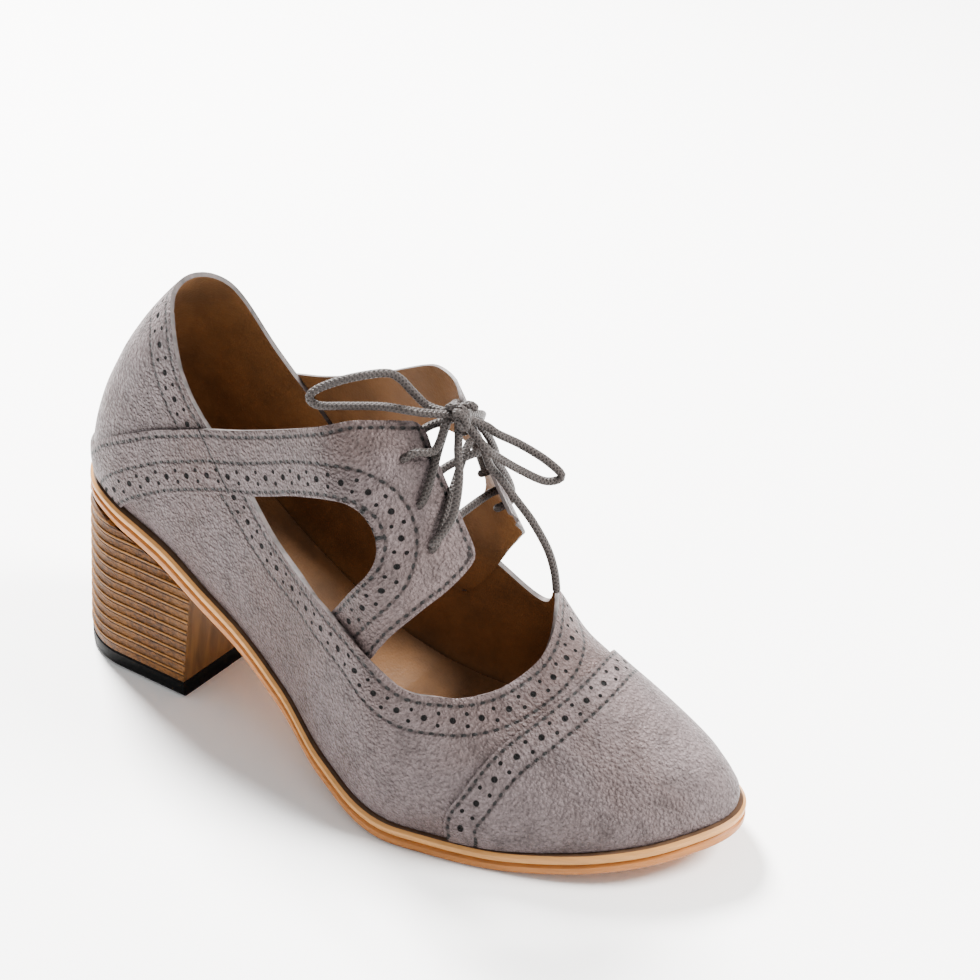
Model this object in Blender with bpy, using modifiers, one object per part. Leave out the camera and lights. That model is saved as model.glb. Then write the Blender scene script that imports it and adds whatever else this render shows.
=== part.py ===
"""Heeled oxford shoe for the right foot: toe towards +X, medial side towards +Y.

All lengths are metres. The shoe is first described from the back of the sole, and one
empty then carries it so that the origin is under the middle of its box, on the floor.
Table values are shares of the named sizes that the column comments give.
"""
from collections import namedtuple
from math import cos, hypot, pi, sin

import bmesh
import bpy
import numpy as np
from mathutils import Matrix, Vector
from mathutils.bvhtree import BVHTree

# Sole and heel
SHOE_LENGTH = 0.2370
BALL_WIDTH = 0.0850
SEAT_WIDTH = 0.0525
HEEL_HEIGHT = 0.0600
TOE_SPRING = 0.0105
OUTSOLE_THICKNESS = 0.0032
MIDSOLE_THICKNESS = 0.0028
EDGE_CHAMFER = 0.0006
HEEL_BREAST_TOP = 0.0580
HEEL_BREAST_BASE = 0.0515
HEEL_BASE_WIDTH = 0.0550
HEEL_BASE_BACK = -0.0030
HEEL_SETBACK = 0.0034
HEEL_TIP_THICKNESS = 0.0055
HEEL_TIP_CHAMFER = 0.0008
STACK_PITCH = 0.0041
RIDGE_DEPTH = 0.0006
RIDGE_WIDTH = 0.0012

# Upper
COUNTER_HEIGHT = 0.0745
INSTEP_HEIGHT = 0.1090
UPPER_WALL = 0.0016
STRAP_WALL = 0.0018
STRAP_STEP = 0.0011
LEG_STEP = -0.0003
CAP_WALL = 0.0011
WELT_AT_SEAT = 0.0028
WELT_AT_SIDE = 0.0024
WELT_AT_TOE = 0.0040
WALL_BULGE = 0.0016
BULGE_HEIGHT = 0.0110
INSOLE_THICKNESS = 0.0025
EYELET_DIAMETER = 0.0032
LACE_DIAMETER = 0.0025
KNOT_LENGTH = 0.0110
KNOT_WIDTH = 0.0090
KNOT_HEIGHT = 0.0075
GAP = 0.0003

# Mesh fineness
STATIONS = 32
SPOKE_ROWS = 10

Side = namedtuple("Side", "along lateral medial")
Height = namedtuple("Height", "along height")
Ridge = namedtuple("Ridge", "along height centre lateral_shape medial_shape")
Plan = namedtuple("Plan", "across along")
Eyelet = namedtuple("Eyelet", "along lateral medial")
LacePoint = namedtuple("LacePoint", "along across height")

# Outline of the sole: along is a share of SHOE_LENGTH, the half widths of SEAT_WIDTH
SEAT_OUTLINE = [
    Side(0.000, 0.000, 0.000),
    Side(0.018, 0.280, 0.280),
    Side(0.060, 0.440, 0.440),
    Side(0.120, 0.505, 0.495),
    Side(0.200, 0.515, 0.490),
    Side(0.300, 0.525, 0.455),
]
# The same for the forepart, with the half widths as shares of BALL_WIDTH
FOREPART_OUTLINE = [
    Side(0.400, 0.375, 0.275),
    Side(0.500, 0.485, 0.330),
    Side(0.607, 0.560, 0.420),
    Side(0.690, 0.520, 0.470),
    Side(0.793, 0.430, 0.470),
    Side(0.876, 0.325, 0.420),
    Side(0.938, 0.200, 0.345),
    Side(0.980, 0.050, 0.250),
    Side(1.000, -0.110, 0.110),
]
# Underside of the sole: heights of the shank are shares of HEEL_HEIGHT
SHANK_CURVE = [
    Height(0.000, 1.000),
    Height(0.068, 0.942),
    Height(0.169, 0.808),
    Height(0.253, 0.617),
    Height(0.338, 0.433),
    Height(0.422, 0.258),
    Height(0.502, 0.117),
    Height(0.582, 0.030),
    Height(0.640, 0.000),
    Height(0.750, 0.000),
]
# Heights of the toe are shares of TOE_SPRING
TOE_CURVE = [Height(0.844, 0.240), Height(0.928, 0.610), Height(1.000, 1.000)]

# Ridge of the last above the sole: height is a share of INSTEP_HEIGHT, centre of BALL_WIDTH,
# and the shapes are the powers that round the walls (small is upright, large is sloping)
LAST_RIDGE = [
    Ridge(0.218, 0.927, 0.000, 0.50, 0.50),
    Ridge(0.421, 1.138, 0.010, 0.42, 0.42),
    Ridge(0.471, 1.200, 0.018, 0.50, 0.50),
    Ridge(0.526, 1.164, 0.028, 0.75, 0.90),
    Ridge(0.560, 1.082, 0.035, 0.90, 1.10),
    Ridge(0.585, 0.994, 0.038, 1.10, 1.25),
    Ridge(0.606, 0.918, 0.040, 1.30, 1.35),
    Ridge(0.649, 0.750, 0.047, 1.50, 1.40),
    Ridge(0.682, 0.633, 0.052, 1.35, 1.25),
    Ridge(0.720, 0.480, 0.058, 1.10, 1.00),
    Ridge(0.757, 0.422, 0.065, 1.00, 1.00),
    Ridge(0.797, 0.370, 0.074, 1.00, 1.12),
    Ridge(0.840, 0.305, 0.084, 1.15, 1.30),
    Ridge(0.880, 0.245, 0.092, 1.30, 1.50),
    Ridge(0.920, 0.180, 0.098, 1.45, 1.70),
]
BACK_SHAPE = 1.95
TOE_SHAPE = 2.00
FAN_BACK_START = 0.218
FAN_BACK_END = 0.316
FAN_TOE_START = 0.788
FAN_TOE_SHARE = 0.556

# Upper edge of the counter, quarter and throat: height is a share of COUNTER_HEIGHT
TOPLINE = [
    Height(0.148, 1.062),
    Height(0.176, 1.011),
    Height(0.191, 0.951),
    Height(0.206, 0.886),
    Height(0.224, 0.832),
    Height(0.243, 0.805),
    Height(0.263, 0.790),
    Height(0.300, 0.752),
    Height(0.342, 0.694),
    Height(0.373, 0.652),
    Height(0.411, 0.640),
    Height(0.463, 0.675),
    Height(0.505, 0.690),
    Height(0.547, 0.690),
    Height(0.578, 0.661),
    Height(0.605, 0.600),
    Height(0.621, 0.579),
    Height(0.644, 0.562),
    Height(0.680, 0.555),
    Height(0.750, 0.555),
]
# Upper edge of the saddle strap and eyestay: height is a share of INSTEP_HEIGHT
STRAP_TOP = [
    Height(-0.040, 0.060),
    Height(0.000, 0.070),
    Height(0.042, 0.098),
    Height(0.071, 0.168),
    Height(0.119, 0.258),
    Height(0.162, 0.336),
    Height(0.208, 0.421),
    Height(0.256, 0.525),
    Height(0.310, 0.625),
    Height(0.361, 0.728),
    Height(0.431, 0.876),
    Height(0.490, 0.998),
    Height(0.512, 1.028),
    Height(0.545, 1.047),
    Height(0.600, 1.030),
    Height(0.720, 1.030),
]
# Front edge of the leg below the eyestay, down to where the quarter covers it
LEG_FRONT = [
    Height(0.720, 0.770),
    Height(0.660, 0.765),
    Height(0.646, 0.735),
    Height(0.643, 0.690),
    Height(0.633, 0.639),
    Height(0.624, 0.615),
    Height(0.614, 0.579),
    Height(0.601, 0.536),
    Height(0.578, 0.449),
    Height(0.554, 0.365),
    Height(0.526, 0.275),
]
# Back edge of the leg, the side opening and the lower edge of the strap to the sole
STRAP_FOOT = [
    Height(0.454, 0.300),
    Height(0.480, 0.385),
    Height(0.504, 0.474),
    Height(0.521, 0.532),
    Height(0.539, 0.595),
    Height(0.553, 0.644),
    Height(0.564, 0.690),
    Height(0.567, 0.745),
    Height(0.561, 0.787),
    Height(0.548, 0.817),
    Height(0.528, 0.824),
    Height(0.510, 0.813),
    Height(0.480, 0.775),
    Height(0.431, 0.679),
    Height(0.397, 0.605),
    Height(0.339, 0.482),
    Height(0.275, 0.364),
    Height(0.211, 0.227),
    Height(0.176, 0.152),
    Height(0.142, 0.083),
    Height(0.110, 0.005),
    Height(0.085, -0.090),
]
# Opening between the two eyestays, seen from above: across is a share of BALL_WIDTH
EYESTAY_LATERAL = [
    Plan(-0.130, 0.500), Plan(-0.122, 0.570), Plan(-0.106, 0.605), Plan(-0.094, 0.640), Plan(-0.090, 0.660)]
EYESTAY_MEDIAL = [Plan(0.115, 0.660), Plan(0.100, 0.630), Plan(0.080, 0.590), Plan(0.060, 0.500)]
# Front edge of the throat, seen from above
THROAT_FRONT = [
    Plan(-0.600, 0.580),
    Plan(-0.416, 0.644),
    Plan(-0.356, 0.682),
    Plan(-0.319, 0.696),
    Plan(-0.267, 0.711),
    Plan(-0.203, 0.723),
    Plan(-0.139, 0.731),
    Plan(-0.070, 0.735),
    Plan(-0.007, 0.733),
    Plan(0.065, 0.725),
    Plan(0.120, 0.716),
    Plan(0.200, 0.700),
    Plan(0.300, 0.672),
    Plan(0.400, 0.636),
    Plan(0.600, 0.560),
]
# Edge of the toe cap, seen from above
CAP_SEAM = [
    Plan(-0.560, 0.690),
    Plan(-0.490, 0.706),
    Plan(-0.462, 0.718),
    Plan(-0.425, 0.727),
    Plan(-0.339, 0.745),
    Plan(-0.225, 0.767),
    Plan(-0.091, 0.782),
    Plan(0.024, 0.785),
    Plan(0.130, 0.781),
    Plan(0.250, 0.769),
    Plan(0.360, 0.748),
    Plan(0.450, 0.724),
    Plan(0.560, 0.680),
]
EYELETS = [
    Eyelet(0.562, -0.222, 0.190),
    Eyelet(0.587, -0.220, 0.205),
    Eyelet(0.609, -0.230, 0.220),
]

# Routes of the lace: along is a share of SHOE_LENGTH, across of BALL_WIDTH and the height
# above the floor of INSTEP_HEIGHT
KNOT = LacePoint(0.604, -0.066, 1.157)
LOOP_LEFT = [
    LacePoint(0.563, -0.082, 1.160),
    LacePoint(0.549, -0.118, 1.204),
    LacePoint(0.534, -0.141, 1.243),
    LacePoint(0.521, -0.176, 1.260),
    LacePoint(0.491, -0.259, 1.250),
    LacePoint(0.459, -0.306, 1.214),
    LacePoint(0.449, -0.329, 1.187),
    LacePoint(0.459, -0.316, 1.165),
    LacePoint(0.490, -0.269, 1.170),
    LacePoint(0.528, -0.215, 1.178),
    LacePoint(0.562, -0.184, 1.180),
    LacePoint(0.576, -0.150, 1.172),
]
LOOP_RIGHT = [
    LacePoint(0.624, 0.020, 1.110),
    LacePoint(0.634, 0.047, 1.085),
    LacePoint(0.652, 0.118, 1.040),
    LacePoint(0.680, 0.165, 0.995),
    LacePoint(0.698, 0.188, 0.953),
    LacePoint(0.683, 0.153, 0.938),
    LacePoint(0.663, 0.080, 0.982),
    LacePoint(0.649, 0.002, 1.038),
    LacePoint(0.642, -0.050, 1.080),
]
END_LEFT = [
    LacePoint(0.615, -0.107, 1.104),
    LacePoint(0.622, -0.135, 1.084),
    LacePoint(0.634, -0.172, 1.039),
    LacePoint(0.638, -0.197, 0.979),
    LacePoint(0.638, -0.222, 0.929),
    LacePoint(0.634, -0.252, 0.896),
    LacePoint(0.626, -0.285, 0.862),
]
END_RIGHT = [
    LacePoint(0.626, -0.006, 1.058),
    LacePoint(0.632, 0.016, 0.996),
    LacePoint(0.646, 0.040, 0.951),
    LacePoint(0.658, 0.064, 0.901),
    LacePoint(0.681, 0.085, 0.836),
    LacePoint(0.700, 0.108, 0.755),
    LacePoint(0.709, 0.120, 0.685),
    LacePoint(0.711, 0.130, 0.625),
]

MODEL_NAME = "heeled_oxford_shoe"

FINISHES = {
    "upper": ((0.225, 0.198, 0.205), 0.75, 0.0),
    "toe_cap": ((0.225, 0.198, 0.205), 0.72, 0.0),
    "insole": ((0.43, 0.27, 0.14), 0.65, 0.0),
    "midsole": ((0.72, 0.50, 0.31), 0.55, 0.0),
    "outsole": ((0.55, 0.29, 0.12), 0.55, 0.0),
    "heel": ((0.30, 0.15, 0.06), 0.60, 0.0),
    "heel_tip": ((0.012, 0.012, 0.014), 0.60, 0.0),
    "lace": ((0.085, 0.085, 0.080), 0.70, 0.0),
}


def column(rows, name):
    return [getattr(row, name) for row in rows]


def smooth_value(xs, ys, x):
    """Cubic through the rows that keeps flat stretches flat."""
    xs = np.asarray(xs, float)
    ys = np.asarray(ys, float)
    steps = np.diff(xs)
    slopes = np.diff(ys) / steps
    tangents = np.zeros(len(xs))
    tangents[0] = slopes[0]
    tangents[-1] = slopes[-1]
    for i in range(1, len(xs) - 1):
        if slopes[i - 1] * slopes[i] > 0:
            before = 2 * steps[i] + steps[i - 1]
            after = steps[i] + 2 * steps[i - 1]
            tangents[i] = (before + after) / (before / slopes[i - 1] + after / slopes[i])
    i = int(np.clip(np.searchsorted(xs, x) - 1, 0, len(xs) - 2))
    t = min(max((x - xs[i]) / steps[i], 0.0), 1.0)
    start = (1 + 2 * t) * (1 - t) ** 2 * ys[i] + t * (1 - t) ** 2 * steps[i] * tangents[i]
    end = t * t * (3 - 2 * t) * ys[i + 1] + t * t * (t - 1) * steps[i] * tangents[i + 1]
    return float(start + end)


def smooth_path(points, steps):
    """Catmull-Rom curve through the points, with the same number of steps in each stretch."""
    points = [np.asarray(p, float) for p in points]
    padded = [2 * points[0] - points[1]] + points + [2 * points[-1] - points[-2]]
    path = []
    for before, start, end, after in zip(padded, padded[1:], padded[2:], padded[3:]):
        for k in range(steps):
            t = k / steps
            path.append(0.5 * (2 * start + (end - before) * t
                               + (2 * before - 5 * start + 4 * end - after) * t ** 2
                               + (3 * start - before - 3 * end + after) * t ** 3))
    path.append(points[-1])
    return path


# Sole lines

def half_width(x, side):
    """Half width of the sole, with the rounding of its ends kept in the angle."""
    rows = [(r.along, getattr(r, side) * SEAT_WIDTH) for r in SEAT_OUTLINE]
    rows += [(r.along, getattr(r, side) * BALL_WIDTH) for r in FOREPART_OUTLINE]
    angles = [np.arccos(1 - 2 * along) for along, width in rows]
    return smooth_value(angles, [width for along, width in rows],
                        np.arccos(1 - 2 * min(max(x / SHOE_LENGTH, 0.0), 1.0)))


def underside(x):
    rows = [(r.along, r.height * HEEL_HEIGHT) for r in SHANK_CURVE]
    rows += [(r.along, r.height * TOE_SPRING) for r in TOE_CURVE]
    return smooth_value([along for along, height in rows], [height for along, height in rows],
                        min(max(x / SHOE_LENGTH, 0.0), 1.0))


def sole_slope(x):
    step = SHOE_LENGTH / 400
    low = max(x - step, 0.0)
    high = min(x + step, SHOE_LENGTH)
    return (underside(high) - underside(low)) / (high - low)


def sole_level(x, depth):
    """Height of the layer that lies depth above the underside, measured square to it."""
    return underside(x) + depth * hypot(1.0, sole_slope(x))


def welt_width(x):
    return smooth_value([0.0, 0.15, 0.30, 0.72, 0.90, 1.0],
                        [WELT_AT_SEAT, WELT_AT_SEAT, WELT_AT_SIDE, WELT_AT_SIDE, WELT_AT_TOE,
                         WELT_AT_TOE], x / SHOE_LENGTH)


def outline():
    """Edge of the sole as pairs of lateral and medial points, from the back to the toe."""
    pairs = []
    for k in range(STATIONS + 1):
        x = SHOE_LENGTH * (1 - cos(pi * k / STATIONS)) / 2
        pairs.append(((x, -half_width(x, "lateral")), (x, half_width(x, "medial"))))
    return pairs


def loop_of(pairs):
    """One loop of points: back, lateral side, toe, medial side."""
    lateral = [a for a, b in pairs]
    medial = [b for a, b in pairs[1:-1]]
    return lateral + medial[::-1]


def inset_loop(loop, inset):
    """The loop moved inwards by inset, which may follow the length."""
    count = len(loop)
    moved = []
    for i, (x, y) in enumerate(loop):
        before = loop[i - 1]
        after = loop[(i + 1) % count]
        dx = after[0] - before[0]
        dy = after[1] - before[1]
        size = hypot(dx, dy)
        width = inset(x) if callable(inset) else inset
        moved.append((x - dy / size * width, y + dx / size * width))
    return moved


# Meshes and objects

def new_object(name, mesh, collection, empty=None):
    obj = bpy.data.objects.new(name, mesh)
    collection.objects.link(obj)
    if empty is not None:
        obj.parent = empty
    return obj


def mesh_from(name, points, faces):
    mesh = bpy.data.meshes.new(name)
    mesh.from_pydata([tuple(p) for p in points], [], faces)
    bm = bmesh.new()
    bm.from_mesh(mesh)
    bmesh.ops.recalc_face_normals(bm, faces=bm.faces)
    bm.to_mesh(mesh)
    bm.free()
    return mesh


def shade_round(mesh, angle=0.6):
    mesh.shade_smooth()
    mesh.set_sharp_from_angle(angle=angle)


def pairs_across(count):
    """Faces that join the two sides of a loop, as indices into one ring."""
    last = count // 2
    faces = [(0, 1, count - 1)]
    for k in range(1, last - 1):
        faces.append((k, k + 1, count - k - 1, count - k))
    faces.append((last - 1, last, last + 1))
    return faces


def layered_solid(name, rings):
    """Closed solid from rings of equal count, capped across at both ends."""
    count = len(rings[0])
    points = [p for ring in rings for p in ring]
    faces = []
    for level in range(len(rings) - 1):
        low = level * count
        for i in range(count):
            j = (i + 1) % count
            faces.append((low + i, low + j, low + count + j, low + count + i))
    top = (len(rings) - 1) * count
    faces += [tuple(i for i in face) for face in pairs_across(count)]
    faces += [tuple(top + i for i in face) for face in pairs_across(count)]
    return mesh_from(name, points, faces)


def sole_layer(name, low_depth, high_depth, edge_inset, chamfer):
    """A plate that follows the sole between two depths above its underside."""
    loop = outline_loop
    rings = []
    for depth, inset in ((low_depth, chamfer), (low_depth + chamfer, 0.0),
                         (high_depth - chamfer, 0.0), (high_depth, chamfer)):
        flat = inset_loop(loop, lambda x, extra=inset: edge_inset(x) + extra)
        rings.append([(x, y, sole_level(x, depth)) for x, y in flat])
    return layered_solid(name, rings)


def prism(name, profile, start, end, plane, collection, empty):
    """Straight prism over a closed profile, along Y for an XZ profile or along Z for XY."""
    count = len(profile)
    points = []
    for level in (start, end):
        for u, v in profile:
            points.append((u, level, v) if plane == "XZ" else (u, v, level))
    faces = [tuple(range(count)), tuple(range(count, 2 * count))]
    for i in range(count):
        j = (i + 1) % count
        faces.append((i, j, count + j, count + i))
    return guide(new_object(name, mesh_from(name, points, faces), collection, empty))


def guide(obj):
    obj.hide_render = True
    obj.display_type = "WIRE"
    return obj


def cut(obj, other, operation):
    modifier = obj.modifiers.new(operation.lower() + "_" + other.name, "BOOLEAN")
    modifier.operation = operation
    modifier.solver = "EXACT"
    modifier.object = other
    return modifier


def thicken(obj, wall):
    modifier = obj.modifiers.new("wall", "SOLIDIFY")
    modifier.thickness = wall
    modifier.offset = -1.0


# Last

def ridge_value(x, name):
    return smooth_value(column(LAST_RIDGE, "along"), column(LAST_RIDGE, name), x / SHOE_LENGTH)


def ridge_station(x):
    """Place on the ridge that a spoke from the feather line leans towards."""
    share = x / SHOE_LENGTH
    if share < FAN_BACK_END:
        return SHOE_LENGTH * (FAN_BACK_START + share * (1 - FAN_BACK_START / FAN_BACK_END))
    if share > FAN_TOE_START:
        return SHOE_LENGTH * (FAN_TOE_START + (share - FAN_TOE_START) * FAN_TOE_SHARE)
    return x


def wall_shape(x, side):
    """Power that rounds the wall, blended into the back seam and the toe."""
    share = x / SHOE_LENGTH
    side_shape = ridge_value(ridge_station(x), side + "_shape")
    back = min(share / 0.26, 1.0)
    toe = min(max((share - 0.88) / 0.12, 0.0), 1.0)
    rounded = side_shape + (BACK_SHAPE - side_shape) * (1 - back) ** 1.5
    return rounded + (TOE_SHAPE - rounded) * toe ** 2


def spoke(foot, outward, side):
    """Points of the last's wall from the feather line to the ridge."""
    x, y = foot
    floor = sole_level(x, SOLE_THICKNESS) + GAP
    target = ridge_station(x)
    crest_y = ridge_value(target, "centre") * BALL_WIDTH
    crest_z = sole_level(target, SOLE_THICKNESS) + ridge_value(target, "height") * INSTEP_HEIGHT
    shape = wall_shape(x, side)
    points = []
    for row in range(SPOKE_ROWS + 1):
        angle = pi / 2 * (row / SPOKE_ROWS) ** 1.2
        inward = 1 - max(cos(angle), 0.0) ** shape
        height = (crest_z - floor) * sin(angle)
        reach = height / BULGE_HEIGHT
        bulge = WALL_BULGE * reach * np.exp(1 - reach) * (1 - inward)
        points.append((x + (target - x) * inward + outward[0] * bulge,
                       y + (crest_y - y) * inward + outward[1] * bulge,
                       floor + height))
    return points


def last_surface():
    """Open surface of the last above the feather line, and its normals."""
    feet = inset_loop(outline_loop, welt_width)
    count = len(feet)
    half = count // 2
    points = []
    for i, (x, y) in enumerate(feet):
        edge = outline_loop[i]
        away = Vector((edge[0] - x, edge[1] - y)).normalized()
        side = "lateral" if i <= half else "medial"
        points += spoke((x, y), away, side)
    rows = SPOKE_ROWS + 1
    for k in range(1, half):
        lateral = k * rows + SPOKE_ROWS
        medial = (count - k) * rows + SPOKE_ROWS
        middle = [(a + b) / 2 for a, b in zip(points[lateral], points[medial])]
        points[lateral] = tuple(middle)
        points[medial] = tuple(middle)
    faces = []
    for i in range(count):
        j = (i + 1) % count
        for row in range(SPOKE_ROWS):
            faces.append((i * rows + row, j * rows + row, j * rows + row + 1, i * rows + row + 1))
    mesh = bpy.data.meshes.new("last_surface")
    mesh.from_pydata(points, [], faces)
    bm = bmesh.new()
    bm.from_mesh(mesh)
    bmesh.ops.remove_doubles(bm, verts=bm.verts, dist=0.00002)
    bmesh.ops.recalc_face_normals(bm, faces=bm.faces)
    bm.normal_update()
    highest = max(bm.faces, key=lambda f: f.calc_center_median().z)
    if highest.normal.z < 0:
        bmesh.ops.reverse_faces(bm, faces=bm.faces)
    bm.to_mesh(mesh)
    bm.free()
    return mesh


def grown(surface, name, step):
    """Copy of the last's surface moved outwards by a step that may follow the place."""
    mesh = surface.copy()
    mesh.name = name
    normals = [v.normal.copy() for v in mesh.vertices]
    for vertex, normal in zip(mesh.vertices, normals):
        amount = step(vertex.co) if callable(step) else step
        level = vertex.co.z
        vertex.co += normal * amount
        vertex.co.z = max(vertex.co.z, min(level, sole_level(vertex.co.x, SOLE_THICKNESS) + GAP))
    return mesh


def heights_to_profile(rows, size, steps):
    """Side-view curve of rows that give heights above the sole."""
    points = [(row.along * SHOE_LENGTH, row.height * size) for row in rows]
    curve = smooth_path(points, steps)
    return [(x, h + sole_level(min(max(x, 0.0), SHOE_LENGTH), SOLE_THICKNESS)) for x, h in curve]


def plan_curve(rows, steps):
    points = [(row.along * SHOE_LENGTH, row.across * BALL_WIDTH) for row in rows]
    return smooth_path(points, steps)


def strap_step(place):
    """The strap stands over the counter, and its leg runs down behind the quarter's edge."""
    above = place.z - sole_level(place.x, SOLE_THICKNESS)
    blend = min(max((above / INSTEP_HEIGHT - 0.44) / 0.20, 0.0), 1.0)
    if place.x < SHOE_LENGTH * 0.42:
        blend = 1.0
    blend = blend * blend * (3 - 2 * blend)
    return LEG_STEP + (STRAP_STEP - LEG_STEP) * blend


def material_for(name):
    colour, roughness, metallic = FINISHES[name]
    material = bpy.data.materials.new(name)
    material.use_nodes = True
    shader = material.node_tree.nodes["Principled BSDF"]
    shader.inputs["Base Color"].default_value = (*colour, 1.0)
    shader.inputs["Roughness"].default_value = roughness
    shader.inputs["Metallic"].default_value = metallic
    return material


def finish(obj, material):
    obj.data.materials.clear()
    obj.data.materials.append(material_for(material))
    return obj


# Pieces

def make_soles(parts, empty):
    flush = 0.0
    outsole = sole_layer("outsole", 0.0, OUTSOLE_THICKNESS, lambda x: flush, EDGE_CHAMFER)
    midsole = sole_layer("midsole", OUTSOLE_THICKNESS + GAP, SOLE_THICKNESS, lambda x: flush,
                         EDGE_CHAMFER)
    inside = UPPER_WALL + GAP
    insole = sole_layer("insole", SOLE_THICKNESS + GAP, SOLE_THICKNESS + GAP + INSOLE_THICKNESS,
                        lambda x: welt_width(x) + inside, EDGE_CHAMFER)
    for name, mesh in (("outsole", outsole), ("midsole", midsole), ("insole", insole)):
        shade_round(mesh)
        finish(new_object(name, mesh, parts, empty), name)


def heel_ring(level, extra):
    """Round back and flat breast of the heel at one height, grown sideways by extra."""
    share = min(max(level / HEEL_HEIGHT, 0.0), 1.0)
    back = HEEL_BASE_BACK + HEEL_SETBACK * share - extra
    breast = HEEL_BREAST_BASE + (HEEL_BREAST_TOP - HEEL_BREAST_BASE) * share
    half = (HEEL_BASE_WIDTH + (SEAT_WIDTH - HEEL_BASE_WIDTH) * share) / 2 + extra
    depth = half * 0.98
    points = [(breast, -half), (back + depth + (breast - back - depth) * 0.5, -half)]
    for k in range(HEEL_ARC_STEPS + 1):
        angle = pi * k / HEEL_ARC_STEPS
        points.append((back + depth - depth * sin(angle), -half * cos(angle)))
    points += [(back + depth + (breast - back - depth) * 0.5, half), (breast, half)]
    return [(x, y, level) for x, y in points]


def capped_stack(name, rings):
    count = len(rings[0])
    points = [p for ring in rings for p in ring]
    faces = [tuple(range(count))]
    top = (len(rings) - 1) * count
    faces.append(tuple(range(top, top + count)))
    for level in range(len(rings) - 1):
        low = level * count
        for i in range(count - 1):
            faces.append((low + i, low + i + 1, low + count + i + 1, low + count + i))
    breast = [level * count for level in range(len(rings))]
    breast += [level * count + count - 1 for level in reversed(range(len(rings)))]
    faces.append(tuple(breast))
    return mesh_from(name, points, faces)


def make_heel(parts, cutters, empty):
    base = HEEL_TIP_THICKNESS + GAP
    rings = [heel_ring(base, 0.0)]
    layers = int((HEEL_HEIGHT - base) / STACK_PITCH) + 1
    for layer in range(layers):
        crest = base + (layer + 1) * STACK_PITCH - RIDGE_WIDTH / 2
        rings.append(heel_ring(crest - RIDGE_WIDTH / 2, 0.0))
        rings.append(heel_ring(crest, RIDGE_DEPTH))
        rings.append(heel_ring(crest + RIDGE_WIDTH / 2, 0.0))
    mesh = capped_stack("heel", rings)
    shade_round(mesh, 0.9)
    heel = finish(new_object("heel", mesh, parts, empty), "heel")
    seat = []
    steps = 24
    reach = HEEL_BREAST_TOP * 1.4
    for k in range(steps + 1):
        x = reach * k / steps
        seat.append((x, underside(x) - GAP * hypot(1.0, sole_slope(x))))
    back = [(-0.01, seat[0][1] - 0.01 * sole_slope(0.0))]
    above = [(reach, HEEL_HEIGHT * 1.6), (-0.01, HEEL_HEIGHT * 1.6)]
    seat_cut = prism("seat_cut", back + seat + above, -SEAT_WIDTH, SEAT_WIDTH, "XZ", cutters, empty)
    cut(heel, seat_cut, "DIFFERENCE")
    tip_rings = []
    for level, extra in ((0.0, -HEEL_TIP_CHAMFER), (HEEL_TIP_CHAMFER, 0.0), (HEEL_TIP_THICKNESS, 0.0)):
        tip_rings.append([(x, y, level) for x, y, z in heel_ring(base, extra)])
    tip = capped_stack("heel_tip", tip_rings)
    shade_round(tip)
    finish(new_object("heel_tip", tip, parts, empty), "heel_tip")


def side_prism(name, profile, cutters, empty):
    return prism(name, profile, -BALL_WIDTH, BALL_WIDTH, "XZ", cutters, empty)


def make_upper(parts, cutters, empty):
    surface = last_surface()
    deep = -0.02
    topline = heights_to_profile(TOPLINE, COUNTER_HEIGHT, 5)
    peak = topline[0]
    high = INSTEP_HEIGHT * 1.8
    above = [(topline[-1][0], high), (-0.03, high), (-0.03, peak[1] + 0.012)]
    opening = side_prism("upper_opening", topline + above, cutters, empty)
    throat = plan_curve(THROAT_FRONT, 4)
    behind = [(-0.03, BALL_WIDTH), (-0.03, -BALL_WIDTH)]
    cut(opening, prism("behind_throat", throat + behind, deep, high * 1.1, "XY", cutters, empty),
        "INTERSECT")
    upper = finish(new_object("upper", grown(surface, "upper", 0.0), parts, empty), "upper")
    thicken(upper, UPPER_WALL)
    cut(upper, opening, "DIFFERENCE")

    strap_outline = heights_to_profile(STRAP_TOP, INSTEP_HEIGHT, 4)
    strap_outline += heights_to_profile(LEG_FRONT, INSTEP_HEIGHT, 4)
    strap_outline += heights_to_profile(STRAP_FOOT, INSTEP_HEIGHT, 4)
    strap_outline.append((-0.04 * SHOE_LENGTH, deep))
    strap_region = side_prism("strap_region", strap_outline, cutters, empty)
    strap = guide(new_object("saddle_strap", grown(surface, "saddle_strap", strap_step), cutters, empty))
    thicken(strap, STRAP_WALL)
    cut(strap, strap_region, "INTERSECT")
    gap_edge = plan_curve(EYESTAY_LATERAL, 4) + plan_curve(EYESTAY_MEDIAL, 4)
    cut(strap, prism("eyestay_gap", gap_edge, 0.0, high, "XY", cutters, empty), "DIFFERENCE")
    cut(upper, strap, "UNION")
    for number, row in enumerate(EYELETS):
        for side in ("lateral", "medial"):
            hole = eyelet_punch(surface, row, side, "eyelet_punch_%s_%d" % (side, number + 1))
            cut(upper, guide(new_object(hole.name, hole, cutters, empty)), "DIFFERENCE")

    cap = finish(new_object("toe_cap", grown(surface, "toe_cap", GAP + CAP_WALL), parts, empty), "toe_cap")
    thicken(cap, CAP_WALL)
    seam = plan_curve(CAP_SEAM, 4)
    front = [(SHOE_LENGTH * 1.1, BALL_WIDTH), (SHOE_LENGTH * 1.1, -BALL_WIDTH)]
    cap_region = prism("cap_region", seam + front, deep, INSTEP_HEIGHT, "XY", cutters, empty)
    cut(cap, cap_region, "INTERSECT")
    return surface


def on_last(surface, along, across):
    """Place and outward direction on the last, straight below a point seen from above."""
    tree = BVHTree.FromPolygons([v.co for v in surface.vertices], [p.vertices for p in surface.polygons])
    start = Vector((along * SHOE_LENGTH, across * BALL_WIDTH, 1.0))
    place, normal, index, reach = tree.ray_cast(start, Vector((0.0, 0.0, -1.0)))
    return place, normal if normal.z > 0 else -normal


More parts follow.
